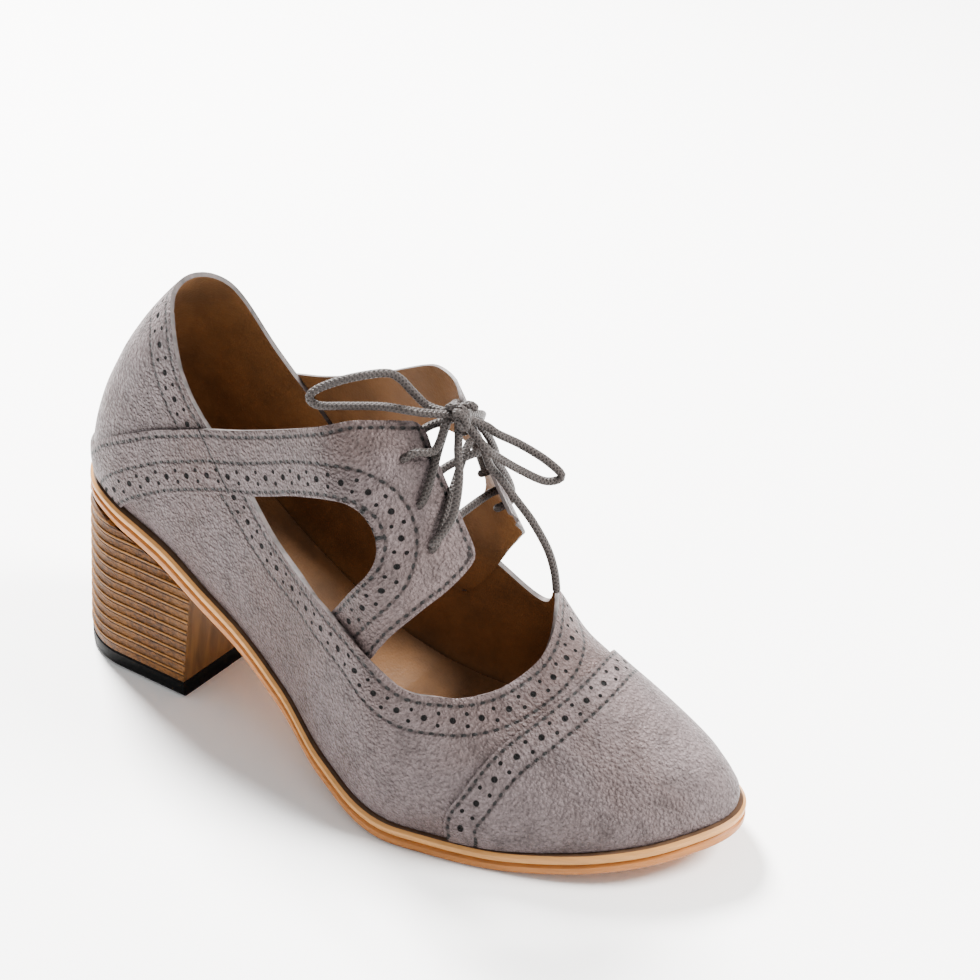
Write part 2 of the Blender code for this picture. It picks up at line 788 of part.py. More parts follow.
def eyelet_punch(surface, row, side, name):
    """Round cutter that stands square to the eyestay at one eyelet."""
    place, normal = on_last(surface, row.along, getattr(row, side))
    turn = normal.to_track_quat("Z", "Y")
    sides = 12
    points = []
    for level in (-3 * STRAP_WALL, 3 * STRAP_WALL):
        for k in range(sides):
            angle = 2 * pi * k / sides
            ring = Vector((cos(angle), sin(angle), 0.0)) * (EYELET_DIAMETER / 2)
            points.append(place + turn @ (ring + Vector((0.0, 0.0, level))))
    faces = [tuple(range(sides)), tuple(range(sides, 2 * sides))]
    faces += [(k, (k + 1) % sides, sides + (k + 1) % sides, sides + k) for k in range(sides)]
    return mesh_from(name, points, faces)


def lace_curve(name, points, collection, empty, roundness=2):
    """Round cord along the points, with closed ends."""
    curve = bpy.data.curves.new(name, "CURVE")
    curve.dimensions = "3D"
    curve.bevel_depth = LACE_DIAMETER / 2
    curve.bevel_resolution = roundness
    curve.use_fill_caps = True
    spline = curve.splines.new("POLY")
    spline.points.add(len(points) - 1)
    for point, place in zip(spline.points, points):
        point.co = (*place, 1.0)
    return new_object(name, curve, collection, empty)


def as_mesh(obj, collection, empty):
    """Mesh copy of a curve object, with its end caps welded on."""
    name = obj.name
    mesh = bpy.data.meshes.new_from_object(obj.evaluated_get(bpy.context.evaluated_depsgraph_get()))
    bpy.data.objects.remove(obj, do_unlink=True)
    bm = bmesh.new()
    bm.from_mesh(mesh)
    bmesh.ops.remove_doubles(bm, verts=bm.verts, dist=0.00005)
    bmesh.ops.recalc_face_normals(bm, faces=bm.faces)
    bm.to_mesh(mesh)
    bm.free()
    mesh.name = name
    return new_object(name, mesh, collection, empty)


def evened(path, spacing):
    """Points at an even spacing along a fine path."""
    path = [Vector(p) for p in path]
    lengths = [0.0]
    for a, b in zip(path, path[1:]):
        lengths.append(lengths[-1] + (b - a).length)
    count = max(int(round(lengths[-1] / spacing)), 2)
    points = []
    for k in range(count + 1):
        wanted = lengths[-1] * k / count
        points.append(Vector([float(np.interp(wanted, lengths, [p[i] for p in path])) for i in range(3)]))
    return points


def lace_route(rows):
    places = [(r.along * SHOE_LENGTH, r.across * BALL_WIDTH, r.height * INSTEP_HEIGHT) for r in rows]
    return evened(smooth_path(places, 8), LACE_DIAMETER * 2.4)


def lace_stops(surface, eyelet, side, other, lift):
    """Places over an eyelet and over its eyestay's edge, on the way to another eyelet."""
    share = getattr(eyelet, side)
    edge = -0.115 if side == "lateral" else 0.085
    far = getattr(other, "medial" if side == "lateral" else "lateral")
    part = abs(share - edge) / (abs(share) + abs(far))
    places = []
    for along, across in ((eyelet.along, share),
                          (eyelet.along + (other.along - eyelet.along) * part, edge)):
        place, normal = on_last(surface, along, across)
        places.append(place + normal * lift)
    return places


def make_laces(surface, parts, cutters, empty):
    """Crossings over the gap as one solid, the knot, two loops and two ends."""
    lift = STRAP_STEP + LACE_DIAMETER / 2 + GAP * 3.5
    bars = [(2, "lateral", 2, "medial"), (2, "lateral", 1, "medial"), (2, "medial", 1, "lateral"),
            (1, "lateral", 0, "medial"), (1, "medial", 0, "lateral")]
    joined = None
    for number, (start, side, end, far_side) in enumerate(bars):
        near, far = EYELETS[start], EYELETS[end]
        route = lace_stops(surface, near, side, far, lift)
        route += lace_stops(surface, far, far_side, near, lift)[::-1]
        owner = cutters if joined else parts
        tube = lace_curve("lace_bar_%d" % number if joined else "lace_crossings",
                          evened(smooth_path(route, 6), LACE_DIAMETER * 2.0), owner, empty, 1)
        tube = as_mesh(tube, owner, empty)
        if joined:
            cut(joined, guide(tube), "UNION")
        else:
            joined = finish(tube, "lace")
    bpy.ops.mesh.primitive_uv_sphere_add(segments=16, ring_count=8, radius=0.5)
    knot = bpy.context.object
    knot.name = "lace_knot"
    knot.data.transform(Matrix.Diagonal((KNOT_LENGTH, KNOT_WIDTH, KNOT_HEIGHT, 1.0)))
    knot.data.transform(Matrix.Translation((KNOT.along * SHOE_LENGTH, KNOT.across * BALL_WIDTH,
                                            KNOT.height * INSTEP_HEIGHT)))
    for owner in list(knot.users_collection):
        owner.objects.unlink(knot)
    parts.objects.link(knot)
    knot.parent = empty
    knot.data.shade_smooth()
    finish(knot, "lace")
    for name, rows in (("lace_loop_left", LOOP_LEFT), ("lace_loop_right", LOOP_RIGHT),
                       ("lace_end_left", END_LEFT), ("lace_end_right", END_RIGHT)):
        finish(lace_curve(name, lace_route(rows), parts, empty), "lace")


def main():
    for obj in list(bpy.data.objects):
        bpy.data.objects.remove(obj, do_unlink=True)
    scene = bpy.context.scene
    parts = bpy.data.collections.new(MODEL_NAME)
    cutters = bpy.data.collections.new("cutters")
    scene.collection.children.link(parts)
    scene.collection.children.link(cutters)
    empty = bpy.data.objects.new("shoe_origin", None)
    parts.objects.link(empty)
    back = HEEL_BASE_BACK - RIDGE_DEPTH
    ys = [y for x, y in outline_loop]
    empty.location = (-(back + SHOE_LENGTH) / 2, -(min(ys) + max(ys)) / 2, 0.0)
    make_soles(parts, empty)
    make_heel(parts, cutters, empty)
    surface = make_upper(parts, cutters, empty)
    make_laces(surface, parts, cutters, empty)


SOLE_THICKNESS = OUTSOLE_THICKNESS + GAP + MIDSOLE_THICKNESS
HEEL_ARC_STEPS = 12
outline_loop = loop_of(outline())

main()
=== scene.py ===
"""Heeled cut-out oxford shoe: the visible pieces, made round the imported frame."""

from collections import namedtuple
from math import cos, hypot, pi, radians, sin

import bmesh
import bpy
import numpy as np
from mathutils import Matrix, Vector
from mathutils.bvhtree import BVHTree


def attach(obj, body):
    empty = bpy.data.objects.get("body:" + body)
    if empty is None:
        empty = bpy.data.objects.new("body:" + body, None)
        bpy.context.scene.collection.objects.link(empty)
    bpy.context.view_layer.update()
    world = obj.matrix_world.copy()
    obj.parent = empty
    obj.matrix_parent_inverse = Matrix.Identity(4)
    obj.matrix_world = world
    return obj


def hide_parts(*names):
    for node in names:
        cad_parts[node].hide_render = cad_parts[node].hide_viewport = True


bl_info = {
    "name": "Heeled Cut-out Oxford",
    "version": (1, 0, 0),
    "blender": (4, 5, 0),
    "location": "View3D > Sidebar > Shoe",
    "description": "Builds a heeled oxford shoe with side cut-outs, pinhole trim and a lace bow",
    "category": "Add Mesh",
}

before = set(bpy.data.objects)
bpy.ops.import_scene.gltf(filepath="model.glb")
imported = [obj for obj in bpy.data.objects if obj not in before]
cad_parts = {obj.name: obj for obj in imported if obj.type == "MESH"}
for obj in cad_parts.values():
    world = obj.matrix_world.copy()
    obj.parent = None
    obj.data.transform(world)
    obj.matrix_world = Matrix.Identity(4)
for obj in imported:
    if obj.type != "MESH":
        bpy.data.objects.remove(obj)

# Sizes of the frame that the pieces share with it
SHOE_LENGTH = 0.2370
BALL_WIDTH = 0.0850
SEAT_WIDTH = 0.0525
HEEL_HEIGHT = 0.0600
TOE_SPRING = 0.0105
OUTSOLE_THICKNESS = 0.0032
MIDSOLE_THICKNESS = 0.0028
HEEL_BREAST_TOP = 0.0580
HEEL_BREAST_BASE = 0.0515
HEEL_BASE_WIDTH = 0.0550
HEEL_BASE_BACK = -0.0030
HEEL_SETBACK = 0.0034
HEEL_TIP_THICKNESS = 0.0055
HEEL_TIP_CHAMFER = 0.0008
STACK_PITCH = 0.0041
RIDGE_DEPTH = 0.0006
RIDGE_WIDTH = 0.0012
COUNTER_HEIGHT = 0.0745
INSTEP_HEIGHT = 0.1090
STRAP_STEP = 0.0011
WELT_AT_SEAT = 0.0028
WELT_AT_SIDE = 0.0024
WELT_AT_TOE = 0.0040
WALL_BULGE = 0.0016
BULGE_HEIGHT = 0.0110
BACK_SHAPE = 1.95
TOE_SHAPE = 2.00
FAN_BACK_START = 0.218
FAN_BACK_END = 0.316
FAN_TOE_START = 0.788
FAN_TOE_SHARE = 0.556
GAP = 0.0003
SOLE_THICKNESS = OUTSOLE_THICKNESS + GAP + MIDSOLE_THICKNESS
STATIONS = 120
SPOKE_ROWS = 54

Side = namedtuple("Side", "along lateral medial")
Height = namedtuple("Height", "along height")
Ridge = namedtuple("Ridge", "along height centre lateral_shape medial_shape")
Plan = namedtuple("Plan", "across along")
Eyelet = namedtuple("Eyelet", "along lateral medial")
LacePoint = namedtuple("LacePoint", "along across height")

# Outline of the sole: along is a share of SHOE_LENGTH, the half widths of SEAT_WIDTH
SEAT_OUTLINE = [
    Side(0.000, 0.000, 0.000),
    Side(0.018, 0.280, 0.280),
    Side(0.060, 0.440, 0.440),
    Side(0.120, 0.505, 0.495),
    Side(0.200, 0.515, 0.490),
    Side(0.300, 0.525, 0.455),
]
# The same for the forepart, as shares of BALL_WIDTH
FOREPART_OUTLINE = [
    Side(0.400, 0.375, 0.275),
    Side(0.500, 0.485, 0.330),
    Side(0.607, 0.560, 0.420),
    Side(0.690, 0.520, 0.470),
    Side(0.793, 0.430, 0.470),
    Side(0.876, 0.325, 0.420),
    Side(0.938, 0.200, 0.345),
    Side(0.980, 0.050, 0.250),
    Side(1.000, -0.110, 0.110),
]
# Underside of the sole as shares of HEEL_HEIGHT, and of TOE_SPRING at the toe
SHANK_CURVE = [
    Height(0.000, 1.000),
    Height(0.068, 0.942),
    Height(0.169, 0.808),
    Height(0.253, 0.617),
    Height(0.338, 0.433),
    Height(0.422, 0.258),
    Height(0.502, 0.117),
    Height(0.582, 0.030),
    Height(0.640, 0.000),
    Height(0.750, 0.000),
]
TOE_CURVE = [Height(0.844, 0.240), Height(0.928, 0.610), Height(1.000, 1.000)]
# Ridge of the last above the sole as shares of INSTEP_HEIGHT and BALL_WIDTH
LAST_RIDGE = [
    Ridge(0.218, 0.927, 0.000, 0.50, 0.50),
    Ridge(0.421, 1.138, 0.010, 0.42, 0.42),
    Ridge(0.471, 1.200, 0.018, 0.50, 0.50),
    Ridge(0.526, 1.164, 0.028, 0.75, 0.90),
    Ridge(0.560, 1.082, 0.035, 0.90, 1.10),
    Ridge(0.585, 0.994, 0.038, 1.10, 1.25),
    Ridge(0.606, 0.918, 0.040, 1.30, 1.35),
    Ridge(0.649, 0.750, 0.047, 1.50, 1.40),
    Ridge(0.682, 0.633, 0.052, 1.35, 1.25),
    Ridge(0.720, 0.480, 0.058, 1.10, 1.00),
    Ridge(0.757, 0.422, 0.065, 1.00, 1.00),
    Ridge(0.797, 0.370, 0.074, 1.00, 1.12),
    Ridge(0.840, 0.305, 0.084, 1.15, 1.30),
    Ridge(0.880, 0.245, 0.092, 1.30, 1.50),
    Ridge(0.920, 0.180, 0.098, 1.45, 1.70),
]
# Upper edge of the quarters as shares of COUNTER_HEIGHT
TOPLINE = [
    Height(0.148, 1.062),
    Height(0.176, 1.011),
    Height(0.191, 0.951),
    Height(0.206, 0.886),
    Height(0.224, 0.832),
    Height(0.243, 0.805),
    Height(0.263, 0.790),
    Height(0.300, 0.752),
    Height(0.342, 0.694),
    Height(0.373, 0.652),
    Height(0.411, 0.640),
    Height(0.463, 0.675),
    Height(0.505, 0.690),
    Height(0.547, 0.690),
    Height(0.578, 0.661),
    Height(0.605, 0.600),
    Height(0.621, 0.579),
    Height(0.644, 0.562),
    Height(0.680, 0.555),
    Height(0.750, 0.555),
]
# Edges of the saddle strap and its leg as shares of INSTEP_HEIGHT
STRAP_TOP = [
    Height(-0.040, 0.060),
    Height(0.000, 0.070),
    Height(0.042, 0.098),
    Height(0.071, 0.168),
    Height(0.119, 0.258),
    Height(0.162, 0.336),
    Height(0.208, 0.421),
    Height(0.256, 0.525),
    Height(0.310, 0.625),
    Height(0.361, 0.728),
    Height(0.431, 0.876),
    Height(0.490, 0.998),
    Height(0.512, 1.028),
    Height(0.545, 1.047),
    Height(0.600, 1.030),
    Height(0.720, 1.030),
]
LEG_FRONT = [
    Height(0.720, 0.770),
    Height(0.660, 0.765),
    Height(0.646, 0.735),
    Height(0.643, 0.690),
    Height(0.633, 0.639),
    Height(0.624, 0.615),
    Height(0.614, 0.579),
    Height(0.601, 0.536),
    Height(0.578, 0.449),
    Height(0.554, 0.365),
    Height(0.526, 0.275),
]
STRAP_FOOT = [
    Height(0.454, 0.300),
    Height(0.480, 0.385),
    Height(0.504, 0.474),
    Height(0.521, 0.532),
    Height(0.539, 0.595),
    Height(0.553, 0.644),
    Height(0.564, 0.690),
    Height(0.567, 0.745),
    Height(0.561, 0.787),
    Height(0.548, 0.817),
    Height(0.528, 0.824),
    Height(0.510, 0.813),
    Height(0.480, 0.775),
    Height(0.431, 0.679),
    Height(0.397, 0.605),
    Height(0.339, 0.482),
    Height(0.275, 0.364),
    Height(0.211, 0.227),
    Height(0.176, 0.152),
    Height(0.142, 0.083),
    Height(0.110, 0.005),
    Height(0.085, -0.090),
]
# Edges seen from above, as shares of BALL_WIDTH and SHOE_LENGTH
EYESTAY_LATERAL = [
    Plan(-0.130, 0.500), Plan(-0.122, 0.570), Plan(-0.106, 0.605), Plan(-0.094, 0.640), Plan(-0.090, 0.660)]
EYESTAY_MEDIAL = [Plan(0.115, 0.660), Plan(0.100, 0.630), Plan(0.080, 0.590), Plan(0.060, 0.500)]
THROAT_FRONT = [
    Plan(-0.600, 0.580),
    Plan(-0.416, 0.644),
    Plan(-0.356, 0.682),
    Plan(-0.319, 0.696),
    Plan(-0.267, 0.711),
    Plan(-0.203, 0.723),
    Plan(-0.139, 0.731),
    Plan(-0.070, 0.735),
    Plan(-0.007, 0.733),
    Plan(0.065, 0.725),
    Plan(0.120, 0.716),
    Plan(0.200, 0.700),
    Plan(0.300, 0.672),
    Plan(0.400, 0.636),
    Plan(0.600, 0.560),
]
CAP_SEAM = [
    Plan(-0.560, 0.690),
    Plan(-0.490, 0.706),
    Plan(-0.462, 0.718),
    Plan(-0.425, 0.727),
    Plan(-0.339, 0.745),
    Plan(-0.225, 0.767),
    Plan(-0.091, 0.782),
    Plan(0.024, 0.785),
    Plan(0.130, 0.781),
    Plan(0.250, 0.769),
    Plan(0.360, 0.748),
    Plan(0.450, 0.724),
    Plan(0.560, 0.680),
]
EYELETS = [
    Eyelet(0.562, -0.222, 0.190),
    Eyelet(0.587, -0.220, 0.205),
    Eyelet(0.609, -0.230, 0.220),
]
# Routes of the lace as shares of SHOE_LENGTH, BALL_WIDTH and INSTEP_HEIGHT
KNOT = LacePoint(0.604, -0.066, 1.157)
LOOP_LEFT = [
    LacePoint(0.563, -0.082, 1.160),
    LacePoint(0.549, -0.118, 1.204),
    LacePoint(0.534, -0.141, 1.243),
    LacePoint(0.521, -0.176, 1.260),
    LacePoint(0.491, -0.259, 1.250),
    LacePoint(0.459, -0.306, 1.214),
    LacePoint(0.449, -0.329, 1.187),
    LacePoint(0.459, -0.316, 1.165),
    LacePoint(0.490, -0.269, 1.170),
    LacePoint(0.528, -0.215, 1.178),
    LacePoint(0.562, -0.184, 1.180),
    LacePoint(0.576, -0.150, 1.172),
]
LOOP_RIGHT = [
    LacePoint(0.624, 0.020, 1.110),
    LacePoint(0.634, 0.047, 1.085),
    LacePoint(0.652, 0.118, 1.040),
    LacePoint(0.680, 0.165, 0.995),
    LacePoint(0.698, 0.188, 0.953),
    LacePoint(0.683, 0.153, 0.938),
    LacePoint(0.663, 0.080, 0.982),
    LacePoint(0.649, 0.002, 1.038),
    LacePoint(0.642, -0.050, 1.080),
]
END_LEFT = [
    LacePoint(0.615, -0.107, 1.104),
    LacePoint(0.622, -0.135, 1.084),
    LacePoint(0.634, -0.172, 1.039),
    LacePoint(0.638, -0.197, 0.979),
    LacePoint(0.638, -0.222, 0.929),
    LacePoint(0.634, -0.252, 0.896),
    LacePoint(0.626, -0.285, 0.862),
]
END_RIGHT = [
    LacePoint(0.626, -0.006, 1.058),
    LacePoint(0.632, 0.016, 0.996),
    LacePoint(0.646, 0.040, 0.951),
    LacePoint(0.658, 0.064, 0.901),
    LacePoint(0.681, 0.085, 0.836),
    LacePoint(0.700, 0.108, 0.755),
    LacePoint(0.709, 0.120, 0.685),
    LacePoint(0.711, 0.130, 0.625),
]


def column(rows, name):
    return [getattr(row, name) for row in rows]


def smooth_value(xs, ys, x):
    """Cubic through the rows that keeps flat stretches flat."""
    xs = np.asarray(xs, float)
    ys = np.asarray(ys, float)
    steps = np.diff(xs)
    slopes = np.diff(ys) / steps
    tangents = np.zeros(len(xs))
    tangents[0] = slopes[0]
    tangents[-1] = slopes[-1]
    for i in range(1, len(xs) - 1):
        if slopes[i - 1] * slopes[i] > 0:
            before = 2 * steps[i] + steps[i - 1]
            after = steps[i] + 2 * steps[i - 1]
            tangents[i] = (before + after) / (before / slopes[i - 1] + after / slopes[i])
    i = int(np.clip(np.searchsorted(xs, x) - 1, 0, len(xs) - 2))
    t = min(max((x - xs[i]) / steps[i], 0.0), 1.0)
    start = (1 + 2 * t) * (1 - t) ** 2 * ys[i] + t * (1 - t) ** 2 * steps[i] * tangents[i]
    end = t * t * (3 - 2 * t) * ys[i + 1] + t * t * (t - 1) * steps[i] * tangents[i + 1]
    return float(start + end)


def smooth_path(points, steps):
    """Catmull-Rom curve through the points, with the same number of steps in each stretch."""
    points = [np.asarray(p, float) for p in points]
    padded = [2 * points[0] - points[1]] + points + [2 * points[-1] - points[-2]]
    path = []
    for before, start, end, after in zip(padded, padded[1:], padded[2:], padded[3:]):
        for k in range(steps):
            t = k / steps
            path.append(0.5 * (2 * start + (end - before) * t
                               + (2 * before - 5 * start + 4 * end - after) * t ** 2
                               + (3 * start - before - 3 * end + after) * t ** 3))
    path.append(points[-1])
    return path


def half_width(x, side):
    """Half width of the sole, with the rounding of its ends kept in the angle."""
    rows = [(r.along, getattr(r, side) * SEAT_WIDTH) for r in SEAT_OUTLINE]
    rows += [(r.along, getattr(r, side) * BALL_WIDTH) for r in FOREPART_OUTLINE]
    angles = [np.arccos(1 - 2 * along) for along, width in rows]
    return smooth_value(angles, [width for along, width in rows],
                        np.arccos(1 - 2 * min(max(x / SHOE_LENGTH, 0.0), 1.0)))


def underside(x):
    rows = [(r.along, r.height * HEEL_HEIGHT) for r in SHANK_CURVE]
    rows += [(r.along, r.height * TOE_SPRING) for r in TOE_CURVE]
    return smooth_value([along for along, height in rows], [height for along, height in rows],
                        min(max(x / SHOE_LENGTH, 0.0), 1.0))


def sole_slope(x):
    step = SHOE_LENGTH / 400
    low = max(x - step, 0.0)
    high = min(x + step, SHOE_LENGTH)
    return (underside(high) - underside(low)) / (high - low)


def sole_level(x, depth):
    """Height of the layer that lies depth above the underside, measured square to it."""
    return underside(x) + depth * hypot(1.0, sole_slope(x))


def welt_width(x):
    return smooth_value([0.0, 0.15, 0.30, 0.72, 0.90, 1.0],
                        [WELT_AT_SEAT, WELT_AT_SEAT, WELT_AT_SIDE, WELT_AT_SIDE, WELT_AT_TOE,
                         WELT_AT_TOE], x / SHOE_LENGTH)


def outline():
    """Edge of the sole as pairs of lateral and medial points, from the back to the toe."""
    pairs = []
    for k in range(STATIONS + 1):
        x = SHOE_LENGTH * (1 - cos(pi * k / STATIONS)) / 2
        pairs.append(((x, -half_width(x, "lateral")), (x, half_width(x, "medial"))))
    return pairs


def loop_of(pairs):
    """One loop of points: back, lateral side, toe, medial side."""
    lateral = [a for a, b in pairs]
    medial = [b for a, b in pairs[1:-1]]
    return lateral + medial[::-1]


def inset_loop(loop, inset):
    """The loop moved inwards by inset, which may follow the length."""
    count = len(loop)
    moved = []
    for i, (x, y) in enumerate(loop):
        before = loop[i - 1]
        after = loop[(i + 1) % count]
        dx = after[0] - before[0]
        dy = after[1] - before[1]
        size = hypot(dx, dy)
        width = inset(x) if callable(inset) else inset
        moved.append((x - dy / size * width, y + dx / size * width))
    return moved


def pairs_across(count):
    """Faces that join the two sides of a loop, as indices into one ring."""
    last = count // 2
    faces = [(0, 1, count - 1)]
    for k in range(1, last - 1):
        faces.append((k, k + 1, count - k - 1, count - k))
    faces.append((last - 1, last, last + 1))
    return faces


def ridge_value(x, name):
    return smooth_value(column(LAST_RIDGE, "along"), column(LAST_RIDGE, name), x / SHOE_LENGTH)


def ridge_station(x):
    """Place on the ridge that a spoke from the feather line leans towards."""
    share = x / SHOE_LENGTH
    if share < FAN_BACK_END:
        return SHOE_LENGTH * (FAN_BACK_START + share * (1 - FAN_BACK_START / FAN_BACK_END))
    if share > FAN_TOE_START:
        return SHOE_LENGTH * (FAN_TOE_START + (share - FAN_TOE_START) * FAN_TOE_SHARE)
    return x


def wall_shape(x, side):
    """Power that rounds the wall, blended into the back seam and the toe."""
    share = x / SHOE_LENGTH
    side_shape = ridge_value(ridge_station(x), side + "_shape")
    back = min(share / 0.26, 1.0)
    toe = min(max((share - 0.88) / 0.12, 0.0), 1.0)
    rounded = side_shape + (BACK_SHAPE - side_shape) * (1 - back) ** 1.5
    return rounded + (TOE_SHAPE - rounded) * toe ** 2


def heights_to_profile(rows, size, steps):
    """Side-view curve of rows that give heights above the sole."""
    points = [(row.along * SHOE_LENGTH, row.height * size) for row in rows]
    curve = smooth_path(points, steps)
    return [(x, h + sole_level(min(max(x, 0.0), SHOE_LENGTH), SOLE_THICKNESS)) for x, h in curve]


def plan_curve(rows, steps):
    points = [(row.along * SHOE_LENGTH, row.across * BALL_WIDTH) for row in rows]
    return smooth_path(points, steps)


def heel_ring(level, extra):
    """Round back and flat breast of the heel at one height, grown sideways by extra."""
    share = min(max(level / HEEL_HEIGHT, 0.0), 1.0)
    back = HEEL_BASE_BACK + HEEL_SETBACK * share - extra
    breast = HEEL_BREAST_BASE + (HEEL_BREAST_TOP - HEEL_BREAST_BASE) * share
    half = (HEEL_BASE_WIDTH + (SEAT_WIDTH - HEEL_BASE_WIDTH) * share) / 2 + extra
    depth = half * 0.98
    points = [(breast, -half), (back + depth + (breast - back - depth) * 0.5, -half)]
    for k in range(HEEL_ARC_STEPS + 1):
        angle = pi * k / HEEL_ARC_STEPS
        points.append((back + depth - depth * sin(angle), -half * cos(angle)))
    points += [(back + depth + (breast - back - depth) * 0.5, half), (breast, half)]
    return [(x, y, level) for x, y in points]


def evened(path, spacing):
    """Points at an even spacing along a fine path."""
    path = [Vector(p) for p in path]
    lengths = [0.0]
    for a, b in zip(path, path[1:]):
        lengths.append(lengths[-1] + (b - a).length)
    count = max(int(round(lengths[-1] / spacing)), 2)
    points = []
    for k in range(count + 1):
        wanted = lengths[-1] * k / count
        points.append(Vector([float(np.interp(wanted, lengths, [p[i] for p in path])) for i in range(3)]))
    return points


def lace_route(rows):
    places = [(r.along * SHOE_LENGTH, r.across * BALL_WIDTH, r.height * INSTEP_HEIGHT) for r in rows]
    return evened(smooth_path(places, 8), 0.006)


HEEL_ARC_STEPS = 48
ORIGIN = Vector((-(HEEL_BASE_BACK - RIDGE_DEPTH + SHOE_LENGTH) / 2,
                 -(min(y for x, y in loop_of(outline())) + max(y for x, y in loop_of(outline()))) / 2, 0.0))


# Sizes and colours that a user may change

class ShoeSizes(bpy.types.PropertyGroup):
    """Sizes of the trim, the walls and the lace."""
    quarter_wall: bpy.props.FloatProperty(
        name="Quarter wall", description="Thickness of the vamp and quarters", default=0.0016,
        min=0.0008, unit="LENGTH")
    strap_wall: bpy.props.FloatProperty(
        name="Strap wall", description="Thickness of the saddle strap", default=0.0010,
        min=0.0005, unit="LENGTH")
    cap_wall: bpy.props.FloatProperty(
        name="Cap wall", description="Thickness of the toe cap", default=0.0011,
        min=0.0005, unit="LENGTH")
    lace_diameter: bpy.props.FloatProperty(
        name="Lace diameter", description="Diameter of the round lace", default=0.0025,
        min=0.001, unit="LENGTH")
    eyelet_diameter: bpy.props.FloatProperty(
        name="Eyelet diameter", description="Diameter of the punched lace holes", default=0.0027,
        min=0.001, unit="LENGTH")
    hole_diameter: bpy.props.FloatProperty(
        name="Hole diameter", description="Diameter of the large trim holes", default=0.0020,
        min=0.0005, unit="LENGTH")
    hole_pitch: bpy.props.FloatProperty(
        name="Hole pitch", description="Distance between the large trim holes", default=0.0088,
        min=0.004, unit="LENGTH")
    stitch_pitch: bpy.props.FloatProperty(
        name="Stitch pitch", description="Distance between stitches", default=0.0030,
        min=0.001, unit="LENGTH")
    grain_cell: bpy.props.FloatProperty(
        name="Grain cell", description="Size of one pebble of the leather grain", default=0.0011,
        min=0.0004, unit="LENGTH")


def colour_property(name, description, value):
    return bpy.props.FloatVectorProperty(name=name, description=description, subtype="COLOR",
                                         size=3, min=0.0, max=1.0, default=value)


class ShoeColours(bpy.types.PropertyGroup):
    """Colours of the leathers, the sole, the heel and the lace."""
    leather: colour_property("Leather", "Grey-brown leather of the upper", (0.097, 0.068, 0.0645))
    leather_light: colour_property("Leather light", "Cool lighter patches", (0.128, 0.100, 0.101))
    leather_dark: colour_property("Leather dark", "Shaded folds and edges", (0.011, 0.0072, 0.0064))
    lining: colour_property("Lining", "Tan lining leather", (0.175, 0.080, 0.026))
    welt: colour_property("Welt edge", "Light tan edge of the welt", (0.420, 0.198, 0.058))
    sole: colour_property("Sole edge", "Orange-tan edge of the outsole", (0.325, 0.118, 0.024))
    heel_band: colour_property("Heel band", "Brown bands of the heel stack", (0.056, 0.0205, 0.004))
    heel_ridge: colour_property("Heel ridge", "Lighter ridges of the stack", (0.240, 0.106, 0.026))
    rubber: colour_property("Rubber", "Black heel tip", (0.001, 0.001, 0.001))
    lace: colour_property("Lace", "Dark waxed lace", (0.0215, 0.0172, 0.0158))
    floor: colour_property("Floor", "Pale studio floor", (0.930, 0.930, 0.930))


# Materials written as expressions

class Value:
    """A number in a material, with Python's operators."""

    def __init__(self, paint, socket):
        self.paint = paint
        self.socket = socket

    def math(self, operation, *others):
        return self.paint.math(operation, self, *others)

    def __add__(self, other):
        return self.math("ADD", other)

    __radd__ = __add__

    def __sub__(self, other):
        return self.math("SUBTRACT", other)

    def __rsub__(self, other):
        return self.paint.math("SUBTRACT", other, self)

    def __mul__(self, other):
        return self.math("MULTIPLY", other)

    __rmul__ = __mul__

    def __truediv__(self, other):
        return self.math("DIVIDE", other)

    def ramp(self, low, high):
        """0 at low, 1 at high and smooth between them."""
        return self.paint.node("ShaderNodeMapRange", "Result", {"interpolation_type": "SMOOTHSTEP"},
                               {"Value": self, "From Min": low, "From Max": high})


